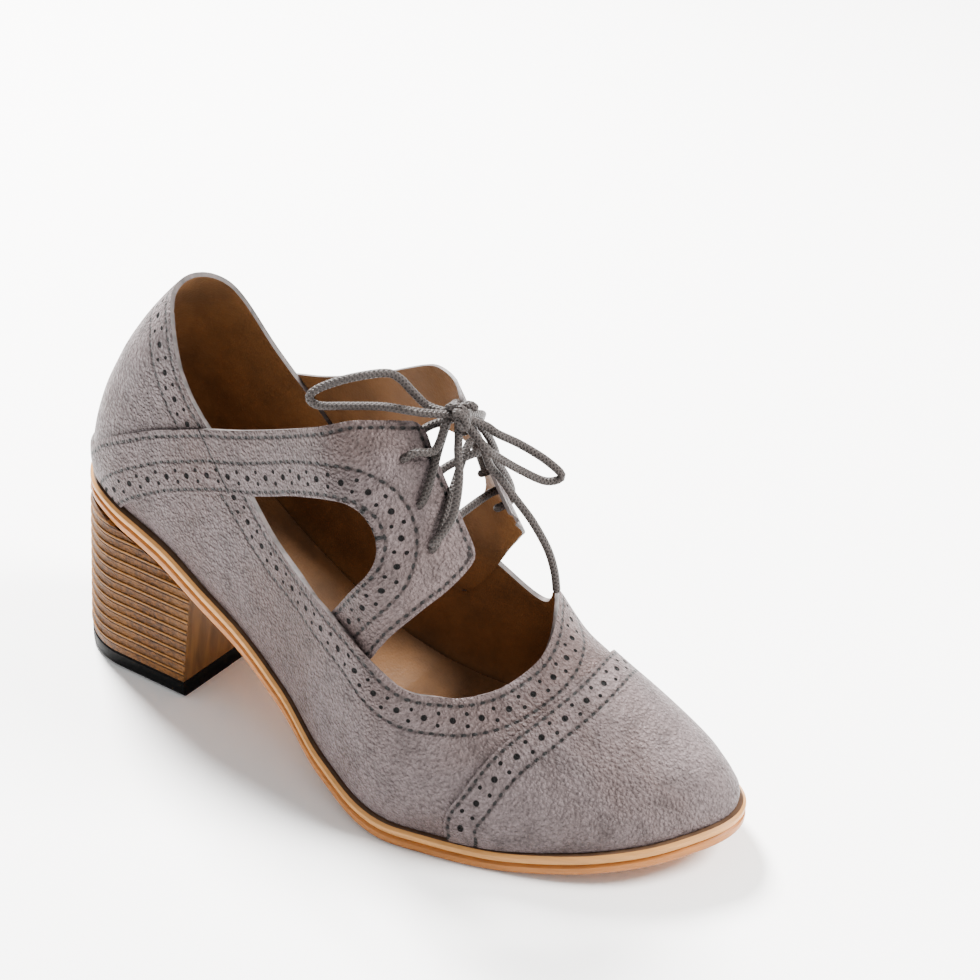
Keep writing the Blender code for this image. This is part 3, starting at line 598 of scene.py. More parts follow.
class Paint:
    """One Principled material and the nodes that vary it."""

    def __init__(self, name, colour, roughness):
        self.material = bpy.data.materials.new(name)
        self.material.use_nodes = True
        self.tree = self.material.node_tree
        self.shader = self.tree.nodes["Principled BSDF"]
        self.shader.inputs["Base Color"].default_value = (*colour, 1.0)
        self.shader.inputs["Roughness"].default_value = roughness
        self.place = self.node("ShaderNodeTexCoord", "Object")

    def put(self, socket, value):
        if isinstance(value, Value):
            self.tree.links.new(value.socket, socket)
        elif hasattr(value, "__len__") and len(value) == 3 and socket.type == "RGBA":
            socket.default_value = (*value, 1.0)
        else:
            socket.default_value = value

    def node(self, kind, output, settings=None, inputs=None):
        made = self.tree.nodes.new(kind)
        for name, value in (settings or {}).items():
            setattr(made, name, value)
        for name, value in (inputs or {}).items():
            self.put(made.inputs[name], value)
        return Value(self, made.outputs[output])

    def math(self, operation, *values):
        return self.node("ShaderNodeMath", 0, {"operation": operation}, dict(enumerate(values)))

    def noise(self, scale, detail=3.0, distortion=0.0, kind="FBM", place=None):
        return self.node("ShaderNodeTexNoise", 0, {"noise_type": kind},
                         {"Vector": place or self.place, "Scale": scale, "Detail": detail,
                          "Distortion": distortion})

    def cells(self, size, feature="F1", place=None):
        return self.node("ShaderNodeTexVoronoi", "Distance", {"feature": feature},
                         {"Vector": place or self.place, "Scale": 1.0 / size})

    def warped(self, amount, scale):
        """Object place pushed about by noise."""
        push = self.node("ShaderNodeTexNoise", 1, None, {"Vector": self.place, "Scale": scale,
                                                         "Detail": 2.0})
        return self.node("ShaderNodeVectorMath", 0, {"operation": "MULTIPLY_ADD"},
                         {0: push, 1: (amount, amount, amount), 2: self.place})

    def mix(self, share, low, high):
        made = self.tree.nodes.new("ShaderNodeMix")
        made.data_type = "RGBA"
        self.put(made.inputs[0], share)
        self.put(made.inputs[6], low)
        self.put(made.inputs[7], high)
        return Value(self, made.outputs[2])

    def strip(self, name):
        """Distance along and across an edge, in metres, that the piece carries as a UV map."""
        uv = self.node("ShaderNodeUVMap", 0, {"uv_map": name})
        split = self.tree.nodes.new("ShaderNodeSeparateXYZ")
        self.put(split.inputs[0], uv)
        return Value(self, split.outputs[0]), Value(self, split.outputs[1])

    def height(self, socket_name):
        split = self.tree.nodes.new("ShaderNodeSeparateXYZ")
        self.put(split.inputs[0], self.place)
        return Value(self, split.outputs[socket_name])

    def finish(self, colour=None, roughness=None, relief=None, strength=1.0):
        if colour is not None:
            self.put(self.shader.inputs["Base Color"], colour)
        if roughness is not None:
            self.put(self.shader.inputs["Roughness"], roughness)
        if relief is not None:
            bump = self.node("ShaderNodeBump", 0, None,
                             {"Height": relief, "Distance": 1.0, "Strength": strength})
            self.put(self.shader.inputs["Normal"], bump)
        return self.material


def repeats(along, pitch, shift=0.0):
    """Signed distance to the nearest of a row of marks."""
    return ((along / pitch + shift).math("FRACT") - 0.5) * pitch


def dot(along, across, radius):
    """1 inside a round mark and 0 outside it."""
    reach = (along * along + across * across).math("SQRT")
    return 1.0 - reach.ramp(radius * 0.72, radius * 1.12)


def stitch_row(along, across, level, pitch):
    away = across - level
    return dot(repeats(along, pitch) * 0.62, away, pitch * 0.18)


def stitch_groove(across, level):
    away = (across - level).math("ABSOLUTE")
    return 1.0 - away.ramp(0.0001, 0.0010)


def pinhole_trim(along, across, middle, sizes):
    """Large holes with pairs of small ones between them."""
    large = dot(repeats(along, sizes.hole_pitch), across - middle, sizes.hole_diameter / 2)
    pair = (across - middle).math("ABSOLUTE") - 0.0018
    small = dot(repeats(along, sizes.hole_pitch, 0.5), pair, sizes.hole_diameter * 0.32)
    return large.math("MAXIMUM", small)


def leather_finish(name, colours, sizes, trims=(), rows=(), seams=()):
    """Fine grained leather; trims, rows and seams name the piece's UV maps with their levels."""
    paint = Paint(name, colours.leather, 0.62)
    paint.shader.inputs["Specular IOR Level"].default_value = 0.16
    clouds = paint.noise(22.0, 4.0, 0.5)
    mottle = paint.noise(130.0, 5.0, 0.4)
    grain = paint.noise(820.0, 3.0, 0.35)
    fine = paint.noise(2300.0, 2.0, 0.2)
    pebble = 1.0 - paint.cells(sizes.grain_cell, "F1", paint.warped(0.0008, 500.0)).ramp(0.15, 0.75)
    pits = grain.ramp(0.62, 0.36)
    colour = paint.mix(clouds.ramp(0.36, 0.66), colours.leather, colours.leather_light)
    colour = paint.mix(mottle.ramp(0.44, 0.72) * 0.32, colour, colours.leather_dark)
    # Painted shade: the pits of the grain and the creases between the pebbles are darkened.
    colour = paint.mix(pits * 0.30 + (1.0 - pebble) * 0.16, colour, colours.leather_dark)
    relief = grain * 0.00060 + pebble * 0.00038 + fine * 0.00012 + mottle * 0.0002
    holes = None
    lines = None
    shaded_grooves = None
    strips = [(uv_map, (level,)) for uv_map, level in rows]
    strips += [(uv_map, (outer, middle)) for uv_map, middle, outer in trims]
    for uv_map, levels in strips:
        along, across = paint.strip(uv_map)
        stitches = stitch_row(along, across, levels[0], sizes.stitch_pitch)
        shaded_groove = stitch_groove(across, levels[0])
        lines = stitches if lines is None else lines.math("MAXIMUM", stitches)
        shaded_grooves = shaded_groove if shaded_grooves is None else shaded_grooves.math("MAXIMUM", shaded_groove)
        if len(levels) > 1:
            punched = pinhole_trim(along, across, levels[1], sizes)
            holes = punched if holes is None else holes.math("MAXIMUM", punched)
    for uv_map, width in seams:
        along, across = paint.strip(uv_map)
        wave = (along * 900.0).math("SINE") * 0.00012
        seam = 1.0 - (across + wave).math("ABSOLUTE").ramp(width * 0.5, width * 1.5)
        lines = lines.math("MAXIMUM", seam * 0.9)
        shaded_grooves = shaded_grooves.math("MAXIMUM", seam)
    # Painted shade in the stitch channels and in the hollow along the seams.
    colour = paint.mix(shaded_grooves * 0.60, colour, colours.leather_dark)
    colour = paint.mix(lines * 0.97, colour, (0.003, 0.003, 0.003))
    # Painted shade: the pinholes are not cut, and the dark inside them is painted near black.
    colour = paint.mix(holes, colour, (0.001, 0.001, 0.001))
    relief = relief - shaded_grooves * 0.00035 - holes * 0.0010 + lines * 0.00010
    roughness = 0.40 + clouds * 0.12 + pits * 0.12 + holes * 0.4
    return paint.finish(colour, roughness, relief)


def shaded_edge_material(name, colours):
    """Folded edge of the leather, painted dark as shade."""
    paint = Paint(name, colours.leather_dark, 0.6)
    tone = paint.noise(300.0, 4.0)
    colour = paint.mix(tone.ramp(0.3, 0.7), colours.leather_dark, [c * 0.6 for c in colours.leather])
    return paint.finish(colour, 0.5 + tone * 0.2, tone * 0.0002)


def lining_finish(name, colours):
    paint = Paint(name, colours.lining, 0.55)
    tone = paint.noise(60.0, 5.0)
    grain = paint.cells(0.0009)
    colour = paint.mix(tone.ramp(0.3, 0.75), colours.lining, [c * 0.55 for c in colours.lining])
    return paint.finish(colour, 0.48 + tone * 0.2, grain * -0.00010)


def sole_edge_finish(name, colour_light, colours, sheets):
    """Waxed edge with fine lines along it."""
    paint = Paint(name, colour_light, 0.42)
    paint.shader.inputs["Specular IOR Level"].default_value = 0.25
    streak_place = paint.node("ShaderNodeMapping", 0, None,
                              {"Vector": paint.place, "Scale": (60.0, 60.0, 1100.0)})
    streaks = paint.noise(1.0, 4.0, 0.2, "FBM", streak_place)
    blotch = paint.noise(45.0, 4.0)
    deep = [c * 0.62 for c in colour_light]
    colour = paint.mix(streaks.ramp(0.35, 0.72) * sheets, colour_light, deep)
    colour = paint.mix(blotch.ramp(0.45, 0.8) * 0.45, colour, [c * 0.72 for c in colour_light])
    return paint.finish(colour, 0.34 + blotch * 0.24, streaks * 0.00012)


# Darker top face of the welt and outsole plates.
def welt_top_finish(name, colours):
    paint = Paint(name, (0.060, 0.030, 0.014), 0.55)
    tone = paint.noise(240.0, 4.0)
    colour = paint.mix(tone, (0.030, 0.015, 0.008), (0.13, 0.065, 0.030))
    return paint.finish(colour, 0.5 + tone * 0.2, tone * 0.0002)


def heel_finish(name, colours):
    """Grainy brown bands between raised ridges, with a painted highlight on each ridge and a painted shadow
    line under it.
    """
    paint = Paint(name, colours.heel_band, 0.6)
    paint.shader.inputs["Specular IOR Level"].default_value = 0.12
    level = paint.height("Z")
    base = HEEL_TIP_THICKNESS + GAP
    wobble = paint.noise(60.0, 2.0) * 0.0003
    ring = repeats(level - base + wobble, STACK_PITCH, RIDGE_WIDTH / 2 / STACK_PITCH + 0.5)
    ridge = 1.0 - (ring - 0.0001).math("ABSOLUTE").ramp(RIDGE_WIDTH * 0.26, RIDGE_WIDTH * 0.50)
    shaded_groove = 1.0 - (ring + RIDGE_WIDTH * 0.66).math("ABSOLUTE").ramp(0.0001, 0.0005)
    grain_place = paint.node("ShaderNodeMapping", 0, None,
                             {"Vector": paint.place, "Scale": (700.0, 700.0, 1100.0)})
    speckle = paint.noise(1.0, 5.0, 0.3, "FBM", grain_place)
    broad = paint.noise(70.0, 3.0)
    band = paint.mix(speckle.ramp(0.35, 0.68), [c * 0.55 for c in colours.heel_band],
                     [min(c * 1.8, 1.0) for c in colours.heel_band])
    band = paint.mix(broad.ramp(0.4, 0.8) * 0.25, band, colours.heel_ridge)
    # Painted highlight: the ridges take a lighter colour, as on their lit upper edge.
    light = paint.mix(speckle.ramp(0.3, 0.7) * 0.5, colours.heel_ridge,
                      [c * 0.6 for c in colours.heel_ridge])
    colour = paint.mix(ridge * 0.92, band, light)
    # Painted shadow: a dark line just under each ridge.
    colour = paint.mix(shaded_groove * 0.75, colour, [c * 0.2 for c in colours.heel_band])
    relief = speckle * 0.00035 + ridge * 0.0003 - shaded_groove * 0.0004
    return paint.finish(colour, 0.46 + speckle * 0.2, relief)


def breast_finish(name, colours):
    paint = Paint(name, colours.heel_ridge, 0.5)
    paint.shader.inputs["Specular IOR Level"].default_value = 0.12
    grain_place = paint.node("ShaderNodeMapping", 0, None,
                             {"Vector": paint.place, "Scale": (300.0, 300.0, 36.0)})
    grain = paint.noise(1.0, 5.0, 0.4, "FBM", grain_place)
    colour = paint.mix(grain.ramp(0.3, 0.75), [c * 0.52 for c in colours.heel_ridge],
                       [c * 0.26 for c in colours.heel_ridge])
    return paint.finish(colour, 0.42 + grain * 0.2, grain * 0.00012)


def rubber_finish(name, colours):
    paint = Paint(name, colours.rubber, 0.55)
    paint.shader.inputs["Specular IOR Level"].default_value = 0.05
    tone = paint.noise(320.0, 4.0)
    colour = paint.mix(tone.ramp(0.35, 0.8) * 0.5, colours.rubber, (0.004, 0.004, 0.004))
    return paint.finish(colour, 0.45 + tone * 0.25, tone * 0.00015)


def lace_finish(name, colours, diameter):
    """Round braid: two sets of slanted strands that cross."""
    paint = Paint(name, colours.lace, 0.5)
    paint.shader.inputs["Specular IOR Level"].default_value = 0.22
    along, turn = paint.strip("along")
    lay = diameter * 0.55
    one = ((along / lay + turn * 5.0) * (2 * pi)).math("SINE")
    other = ((along / lay - turn * 5.0) * (2 * pi)).math("SINE")
    braid = one.math("MAXIMUM", other)
    tone = paint.noise(500.0, 4.0)
    # Painted highlight on the braid's strands and painted shade between them.
    lit = [min(c * 2.1, 1.0) for c in colours.lace]
    colour = paint.mix(braid.ramp(-0.4, 1.0) * 0.6 + tone * 0.3, [c * 0.5 for c in colours.lace], lit)
    return paint.finish(colour, 0.42 + tone * 0.15, braid * 0.00012 + tone * 0.00006)


# Surfaces

def last_points():
    """Grid of the last's points, a row for each spoke, in shoe coordinates."""
    edge = loop_of(outline())
    feet = inset_loop(edge, welt_width)
    count = len(feet)
    half = count // 2
    grid = np.zeros((count, SPOKE_ROWS + 1, 3))
    for i, (x, y) in enumerate(feet):
        away = Vector((edge[i][0] - x, edge[i][1] - y)).normalized()
        side = "lateral" if i <= half else "medial"
        floor = sole_level(x, SOLE_THICKNESS) + GAP
        target = ridge_station(x)
        crest_y = ridge_value(target, "centre") * BALL_WIDTH
        crest_z = sole_level(target, SOLE_THICKNESS) + ridge_value(target, "height") * INSTEP_HEIGHT
        angles = pi / 2 * np.linspace(0.0, 1.0, 400) ** 1.2
        inward = 1 - np.maximum(np.cos(angles), 0.0) ** wall_shape(x, side)
        heights = (crest_z - floor) * np.sin(angles)
        reach = heights / BULGE_HEIGHT
        bulge = WALL_BULGE * reach * np.exp(1 - reach) * (1 - inward)
        fine = np.column_stack([x + (target - x) * inward + away[0] * bulge,
                                y + (crest_y - y) * inward + away[1] * bulge, floor + heights])
        lengths = np.concatenate([[0.0], np.cumsum(np.linalg.norm(np.diff(fine, axis=0), axis=1))])
        wanted = np.linspace(0.0, lengths[-1], SPOKE_ROWS + 1)
        for axis in range(3):
            grid[i, :, axis] = np.interp(wanted, lengths, fine[:, axis])
    for k in range(1, half):
        middle = (grid[k, -1] + grid[count - k, -1]) / 2
        grid[k, -1] = middle
        grid[count - k, -1] = middle
    return grid


def clear_selection():
    for obj in bpy.context.selected_objects:
        obj.select_set(False)


def last_mesh():
    grid = last_points()
    count, rows, axes = grid.shape
    bm = bmesh.new()
    verts = [[bm.verts.new(p) for p in spoke] for spoke in grid]
    for i in range(count):
        j = (i + 1) % count
        for row in range(rows - 1):
            bm.faces.new((verts[i][row], verts[j][row], verts[j][row + 1], verts[i][row + 1]))
    bmesh.ops.remove_doubles(bm, verts=bm.verts, dist=0.00002)
    bmesh.ops.recalc_face_normals(bm, faces=bm.faces)
    highest = max(bm.faces, key=lambda f: f.calc_center_median().z)
    highest.normal_update()
    if highest.normal.z < 0:
        bmesh.ops.reverse_faces(bm, faces=bm.faces)
    gaps = [e for e in bm.edges if e.is_boundary and e.verts[0].co.z > BULGE_HEIGHT * 1.4
            and e.verts[0].co.x > SHOE_LENGTH * 0.6]
    bmesh.ops.holes_fill(bm, edges=gaps, sides=0)
    front = [v for v in bm.verts if v.co.x > SHOE_LENGTH * 0.76
             and v.co.z > sole_level(min(v.co.x, SHOE_LENGTH), SOLE_THICKNESS) + 0.0045]
    bmesh.ops.remove_doubles(bm, verts=front, dist=0.0007)
    bmesh.ops.recalc_face_normals(bm, faces=bm.faces)
    front = [v for v in front if v.is_valid]
    for k in range(24):
        bmesh.ops.smooth_vert(bm, verts=front, factor=0.5, use_axis_x=True, use_axis_y=True,
                              use_axis_z=True)
    bm.normal_update()
    return bm


def polygon_distance(points, polygon):
    """Distance of flat points from a closed polygon, positive inside it."""
    polygon = np.asarray(polygon, float)
    starts = polygon
    ends = np.roll(polygon, -1, axis=0)
    best = np.full(len(points), 1e9)
    inside = np.zeros(len(points), bool)
    for (ax, ay), (bx, by) in zip(starts, ends):
        dx, dy = bx - ax, by - ay
        size = max(dx * dx + dy * dy, 1e-18)
        t = np.clip(((points[:, 0] - ax) * dx + (points[:, 1] - ay) * dy) / size, 0, 1)
        best = np.minimum(best, np.hypot(points[:, 0] - ax - t * dx, points[:, 1] - ay - t * dy))
        crosses = (ay > points[:, 1]) != (by > points[:, 1])
        where = ax + (points[:, 1] - ay) * dx / (dy if dy else 1e-18)
        inside ^= crosses & (points[:, 0] < where)
    return np.where(inside, best, -best)


def trim(bm, measure):
    """Cuts the mesh along the zero line of a measure and drops the negative side."""
    bm.verts.ensure_lookup_table()
    level = dict(zip(bm.verts, measure(np.array([v.co for v in bm.verts]))))
    for vert, value in level.items():
        if abs(value) < 0.00012:
            level[vert] = 0.0
    for edge in list(bm.edges):
        a, b = edge.verts
        if level[a] * level[b] < 0:
            made, vert = bmesh.utils.edge_split(edge, a, level[a] / (level[a] - level[b]))
            level[vert] = 0.0
    for face in list(bm.faces):
        cuts = [v for v in face.verts if level[v] == 0.0]
        if len(cuts) == 2:
            where = [list(face.verts).index(v) for v in cuts]
            if abs(where[0] - where[1]) not in (1, len(face.verts) - 1):
                bmesh.utils.face_split(face, cuts[0], cuts[1])
    unwanted = [f for f in bm.faces if sum(level[v] for v in f.verts) < 0]
    bmesh.ops.delete(bm, geom=unwanted, context="FACES")
    bmesh.ops.dissolve_degenerate(bm, dist=0.00002, edges=bm.edges)
    bm.normal_update()


def grow(bm, step, last=None):
    """Moves the surface outwards by a step that may follow the place.

    Where a last is given, its normals stand in for folded ones of the piece.
    """
    bm.normal_update()
    moves = []
    for vert in bm.verts:
        normal = vert.normal
        if last:
            below = last.find_nearest(vert.co)[1]
            normal = vert.normal if vert.normal.dot(below) > 0.8 else below
        moves.append(normal * (step(vert.co) if callable(step) else step))
    for vert, move in zip(bm.verts, moves):
        level = vert.co.z
        vert.co += move
        floor = sole_level(min(max(vert.co.x, 0.0), SHOE_LENGTH), SOLE_THICKNESS) + GAP
        vert.co.z = max(vert.co.z, min(level, floor))
    bm.normal_update()


def side_view(points):
    return points[:, [0, 2]]


def top_view(points):
    return points[:, [0, 1]]


def on_side(tree, x, z, side):
    """Point of the last at a place in the side view."""
    start = Vector((x, -1.0 if side == "lateral" else 1.0, z))
    way = Vector((0.0, 1.0 if side == "lateral" else -1.0, 0.0))
    return tree.ray_cast(start, way)[0]


def from_above(tree, x, y):
    place, normal, index, reach = tree.ray_cast(Vector((x, y, 1.0)), Vector((0.0, 0.0, -1.0)))
    return place, normal


def side_line(tree, rows, size, side):
    """Edge curve on one side of the last, from its side-view table."""
    line = []
    for x, z in heights_to_profile(rows, size, 16):
        place = on_side(tree, x, z, side)
        if place is not None:
            line.append(place)
    return line


def top_line(tree, rows):
    line = []
    for x, y in plan_curve(rows, 20):
        place = from_above(tree, x, y)[0]
        if place is not None:
            line.append(place)
    return line


def even_edge(bm, accept, rounds=6):
    """Smooths the open edge of the mesh along itself."""
    near = {}
    for edge in bm.edges:
        if edge.is_boundary and all(accept(v.co) for v in edge.verts):
            for vert in edge.verts:
                near.setdefault(vert, []).append(edge.other_vert(vert))
    for k in range(rounds):
        moved = {v: v.co * 0.5 + (n[0].co + n[1].co) * 0.25 for v, n in near.items() if len(n) == 2}
        for vert, place in moved.items():
            vert.co = place
    bm.normal_update()


def boundary_line(bm, accept):
    """Longest open edge of the mesh whose points are accepted, in order."""
    edges = [e for e in bm.edges if e.is_boundary and all(accept(v.co) for v in e.verts)]
    links = {}
    for edge in edges:
        for vert in edge.verts:
            links.setdefault(vert, []).append(edge)
    longest = []
    used = set()
    starts = [v for v in links if len(links[v]) == 1] + list(links)
    for start in starts:
        line = [start]
        vert = start
        while True:
            ways = [e for e in links[vert] if e not in used]
            if not ways:
                break
            used.add(ways[0])
            vert = ways[0].other_vert(vert)
            line.append(vert)
        if len(line) > len(longest):
            longest = line
    return [v.co.copy() for v in longest]


def relaxed(line, rounds):
    for k in range(rounds):
        inner = [a * 0.25 + b * 0.5 + c * 0.25 for a, b, c in zip(line, line[1:], line[2:])]
        line = [line[0]] + inner + [line[-1]]
    return line


def middle_line(bm, line, width):
    """The line moved over the surface to the middle of a strip of this width."""
    tree = BVHTree.FromBMesh(bm)
    moved = []
    for k, place in enumerate(line):
        way = (line[min(k + 2, len(line) - 1)] - line[max(k - 2, 0)]).normalized()
        normal = tree.find_nearest(place)[1]
        side = way.cross(normal).normalized() * width
        options = [tree.find_nearest(place + s * side) for s in (1, -1)]
        moved.append(min(options, key=lambda found: found[3])[0])
    return relaxed(moved, 30)


def nearest_on(points, line):
    """Distance to a line and the length along it, for each point."""
    line = np.array([tuple(p) for p in line])
    steps = np.linalg.norm(np.diff(line, axis=0), axis=1)
    lengths = np.concatenate([[0.0], np.cumsum(steps)])
    best = np.full(len(points), 1e9)
    along = np.zeros(len(points))
    for k in range(len(line) - 1):
        d = line[k + 1] - line[k]
        t = np.clip((points - line[k]) @ d / max(float(d @ d), 1e-18), 0, 1)
        away = np.linalg.norm(points - line[k] - t[:, None] * d, axis=1)
        nearer = away < best
        best[nearer] = away[nearer]
        along[nearer] = lengths[k] + t[nearer] * steps[k]
    return best, along


def strip_map(bm, name, lines, width=0.0):
    """UV map of the distance along and across the nearest of the lines.

    With a width, the length is measured on the middle of the strip."""
    points = np.array([v.co for v in bm.verts])
    best = np.full(len(points), 1e9)
    along = np.zeros(len(points))
    for line in lines:
        line = evened(line, 0.0010)
        away = nearest_on(points, line)[0]
        line = middle_line(bm, line, width) if width else relaxed(line, 12)
        place = nearest_on(points, line)[1]
        nearer = away < best
        best[nearer] = away[nearer]
        along[nearer] = place[nearer]
    layer = bm.loops.layers.uv.new(name)
    values = {v: (along[i], best[i]) for i, v in enumerate(bm.verts)}
    for face in bm.faces:
        for loop in face.loops:
            loop[layer].uv = values[loop.vert]


def seam_map(bm, name, start, end):
    """UV map of the length along a straight seam in the side view and the distance from it."""
    way = (Vector(end) - Vector(start)).normalized()
    layer = bm.loops.layers.uv.new(name)
    for face in bm.faces:
        for loop in face.loops:
            place = Vector((loop.vert.co.x, loop.vert.co.z)) - Vector(start)
            loop[layer].uv = (place.dot(way), place.x * way.y - place.y * way.x)


def cloud(points, scale, seed):
    """Smooth noise between -1 and 1, as a sum of a few waves."""
    rng = np.random.default_rng(seed)
    total = np.zeros(len(points))
    for k in range(7):
        way = rng.normal(size=3)
        way /= np.linalg.norm(way)
        total += np.sin(points @ way * scale * rng.uniform(0.7, 1.5) + rng.uniform(0, 2 * pi))
    return total / 7


def soften(bm, depth, creases=()):
    """Small hollows of real leather, and the main creases, pressed into the surface."""
    bm.normal_update()
    points = np.array([v.co for v in bm.verts])
    push = cloud(points, 130.0, 4) * depth + cloud(points, 330.0, 9) * depth * 0.4
    for start, end, width, fall in creases:
        a = np.array(start)
        d = np.array(end) - a
        t = np.clip((points - a) @ d / float(d @ d), 0, 1)
        away = np.linalg.norm(points - a - t[:, None] * d, axis=1)
        ends = np.sin(np.clip(t, 0.02, 0.98) * pi) ** 0.5
        push += fall * ends * (np.exp(-(away / width) ** 2)
                               - 0.45 * np.exp(-((away - 2.2 * width) / width) ** 2))
    for vert, amount in zip(bm.verts, push):
        vert.co += vert.normal * float(amount)
    bm.normal_update()


def to_object(bm, name):
    """Puts a mesh made in shoe coordinates at its place in the frame."""
    bmesh.ops.translate(bm, verts=bm.verts, vec=ORIGIN)
    mesh = bpy.data.meshes.new(name)
    bm.to_mesh(mesh)
    bm.free()
    obj = bpy.data.objects.new(name, mesh)
    bpy.context.scene.collection.objects.link(obj)
    return obj


def apply_modifiers(obj):
    clear_selection()
    obj.select_set(True)
    bpy.context.view_layer.objects.active = obj
    for modifier in list(obj.modifiers):
        bpy.ops.object.modifier_apply(modifier=modifier.name)


def smooth_shade(obj, angle):
    clear_selection()
    obj.select_set(True)
    bpy.context.view_layer.objects.active = obj
    bpy.ops.object.shade_smooth_by_angle(angle=angle)
    obj.select_set(False)


def give_wall(obj, wall, round_edge, materials):
    """Inward wall with the lining inside and a softly rounded edge."""
    for material in materials:
        obj.data.materials.append(material)
    solid = obj.modifiers.new("wall", "SOLIDIFY")
    solid.thickness = wall
    solid.offset = -1.0
    solid.use_even_offset = False
    solid.material_offset = 1
    solid.material_offset_rim = 2
    edge = obj.modifiers.new("edge", "BEVEL")
    edge.width = round_edge
    edge.segments = 2
    edge.limit_method = "ANGLE"
    edge.angle_limit = radians(50)
    apply_modifiers(obj)
    smooth_shade(obj, radians(50))


def settle(obj, nodes, materials=()):
    for material in materials:
        obj.data.materials.append(material)
    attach(obj, "root")
    if nodes:
        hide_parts(*nodes)
    return obj


def leather_set(name, trims=(), rows=(), seams=()):
    scene = bpy.context.scene
    colours = scene.shoe_colours
    sizes = scene.shoe_sizes
    return [leather_finish(name, colours, sizes, trims, rows, seams),
            lining_finish(name + "_lining", colours), shaded_edge_material(name + "_edge", colours)]


def above_sole(place):
    return place.z > sole_level(min(max(place.x, 0), SHOE_LENGTH), SOLE_THICKNESS) + 0.005


def strap_step(place):
    """The strap lies on the counter, and its leg runs down inside the quarter's edge."""
    above = place.z - sole_level(min(max(place.x, 0.0), SHOE_LENGTH), SOLE_THICKNESS)
    blend = min(max((above / INSTEP_HEIGHT - 0.47) / 0.20, 0.0), 1.0)
    if place.x < SHOE_LENGTH * 0.42:
        blend = 1.0
    blend = blend * blend * (3 - 2 * blend)
    return LEG_STEP + (STRAP_STEP - LEG_STEP) * blend


LEG_STEP = -0.0019
BACK_SEAM = ((0.0581, 0.1035), (0.0725, 0.0835))


class SHOE_OT_quarters(bpy.types.Operator):
    """Vamp, quarters and counter as one leather piece with an open throat"""
    bl_idname = "shoe.quarters"
    bl_label = "Quarters and vamp"

    def execute(self, context):
        sizes = context.scene.shoe_sizes
        bm = last_mesh()
        soften(bm, 0.00022, [
            ((0.150, -0.036, 0.030), (0.176, -0.020, 0.046), 0.0030, -0.0006),
            ((0.140, -0.040, 0.024), (0.160, -0.042, 0.016), 0.0035, -0.0005),
            ((0.020, -0.012, 0.090), (0.040, -0.020, 0.084), 0.0040, -0.0004),
        ])
        topline = heights_to_profile(TOPLINE, COUNTER_HEIGHT, 12)
        high = INSTEP_HEIGHT * 1.8
        above = topline + [(topline[-1][0], high), (-0.03, high), (-0.03, topline[0][1] + 0.012)]
        behind = plan_curve(THROAT_FRONT, 12) + [(-0.03, BALL_WIDTH), (-0.03, -BALL_WIDTH)]
        trim(bm, lambda p: -np.minimum(polygon_distance(side_view(p), above),
                                       polygon_distance(top_view(p), behind)))
        even_edge(bm, above_sole, 10)
        edge = boundary_line(bm, above_sole)
        strip_map(bm, "edge_row", [edge])
        strip_map(bm, "edge_trim", [edge], 0.0085)
        obj = to_object(bm, "quarters")
        give_wall(obj, sizes.quarter_wall, 0.0004,
                  leather_set("quarter_leather", [("edge_trim", 0.0066, 0.0110)],
                              [("edge_row", 0.0024)]))
        settle(obj, ["upper"])
        return {"FINISHED"}


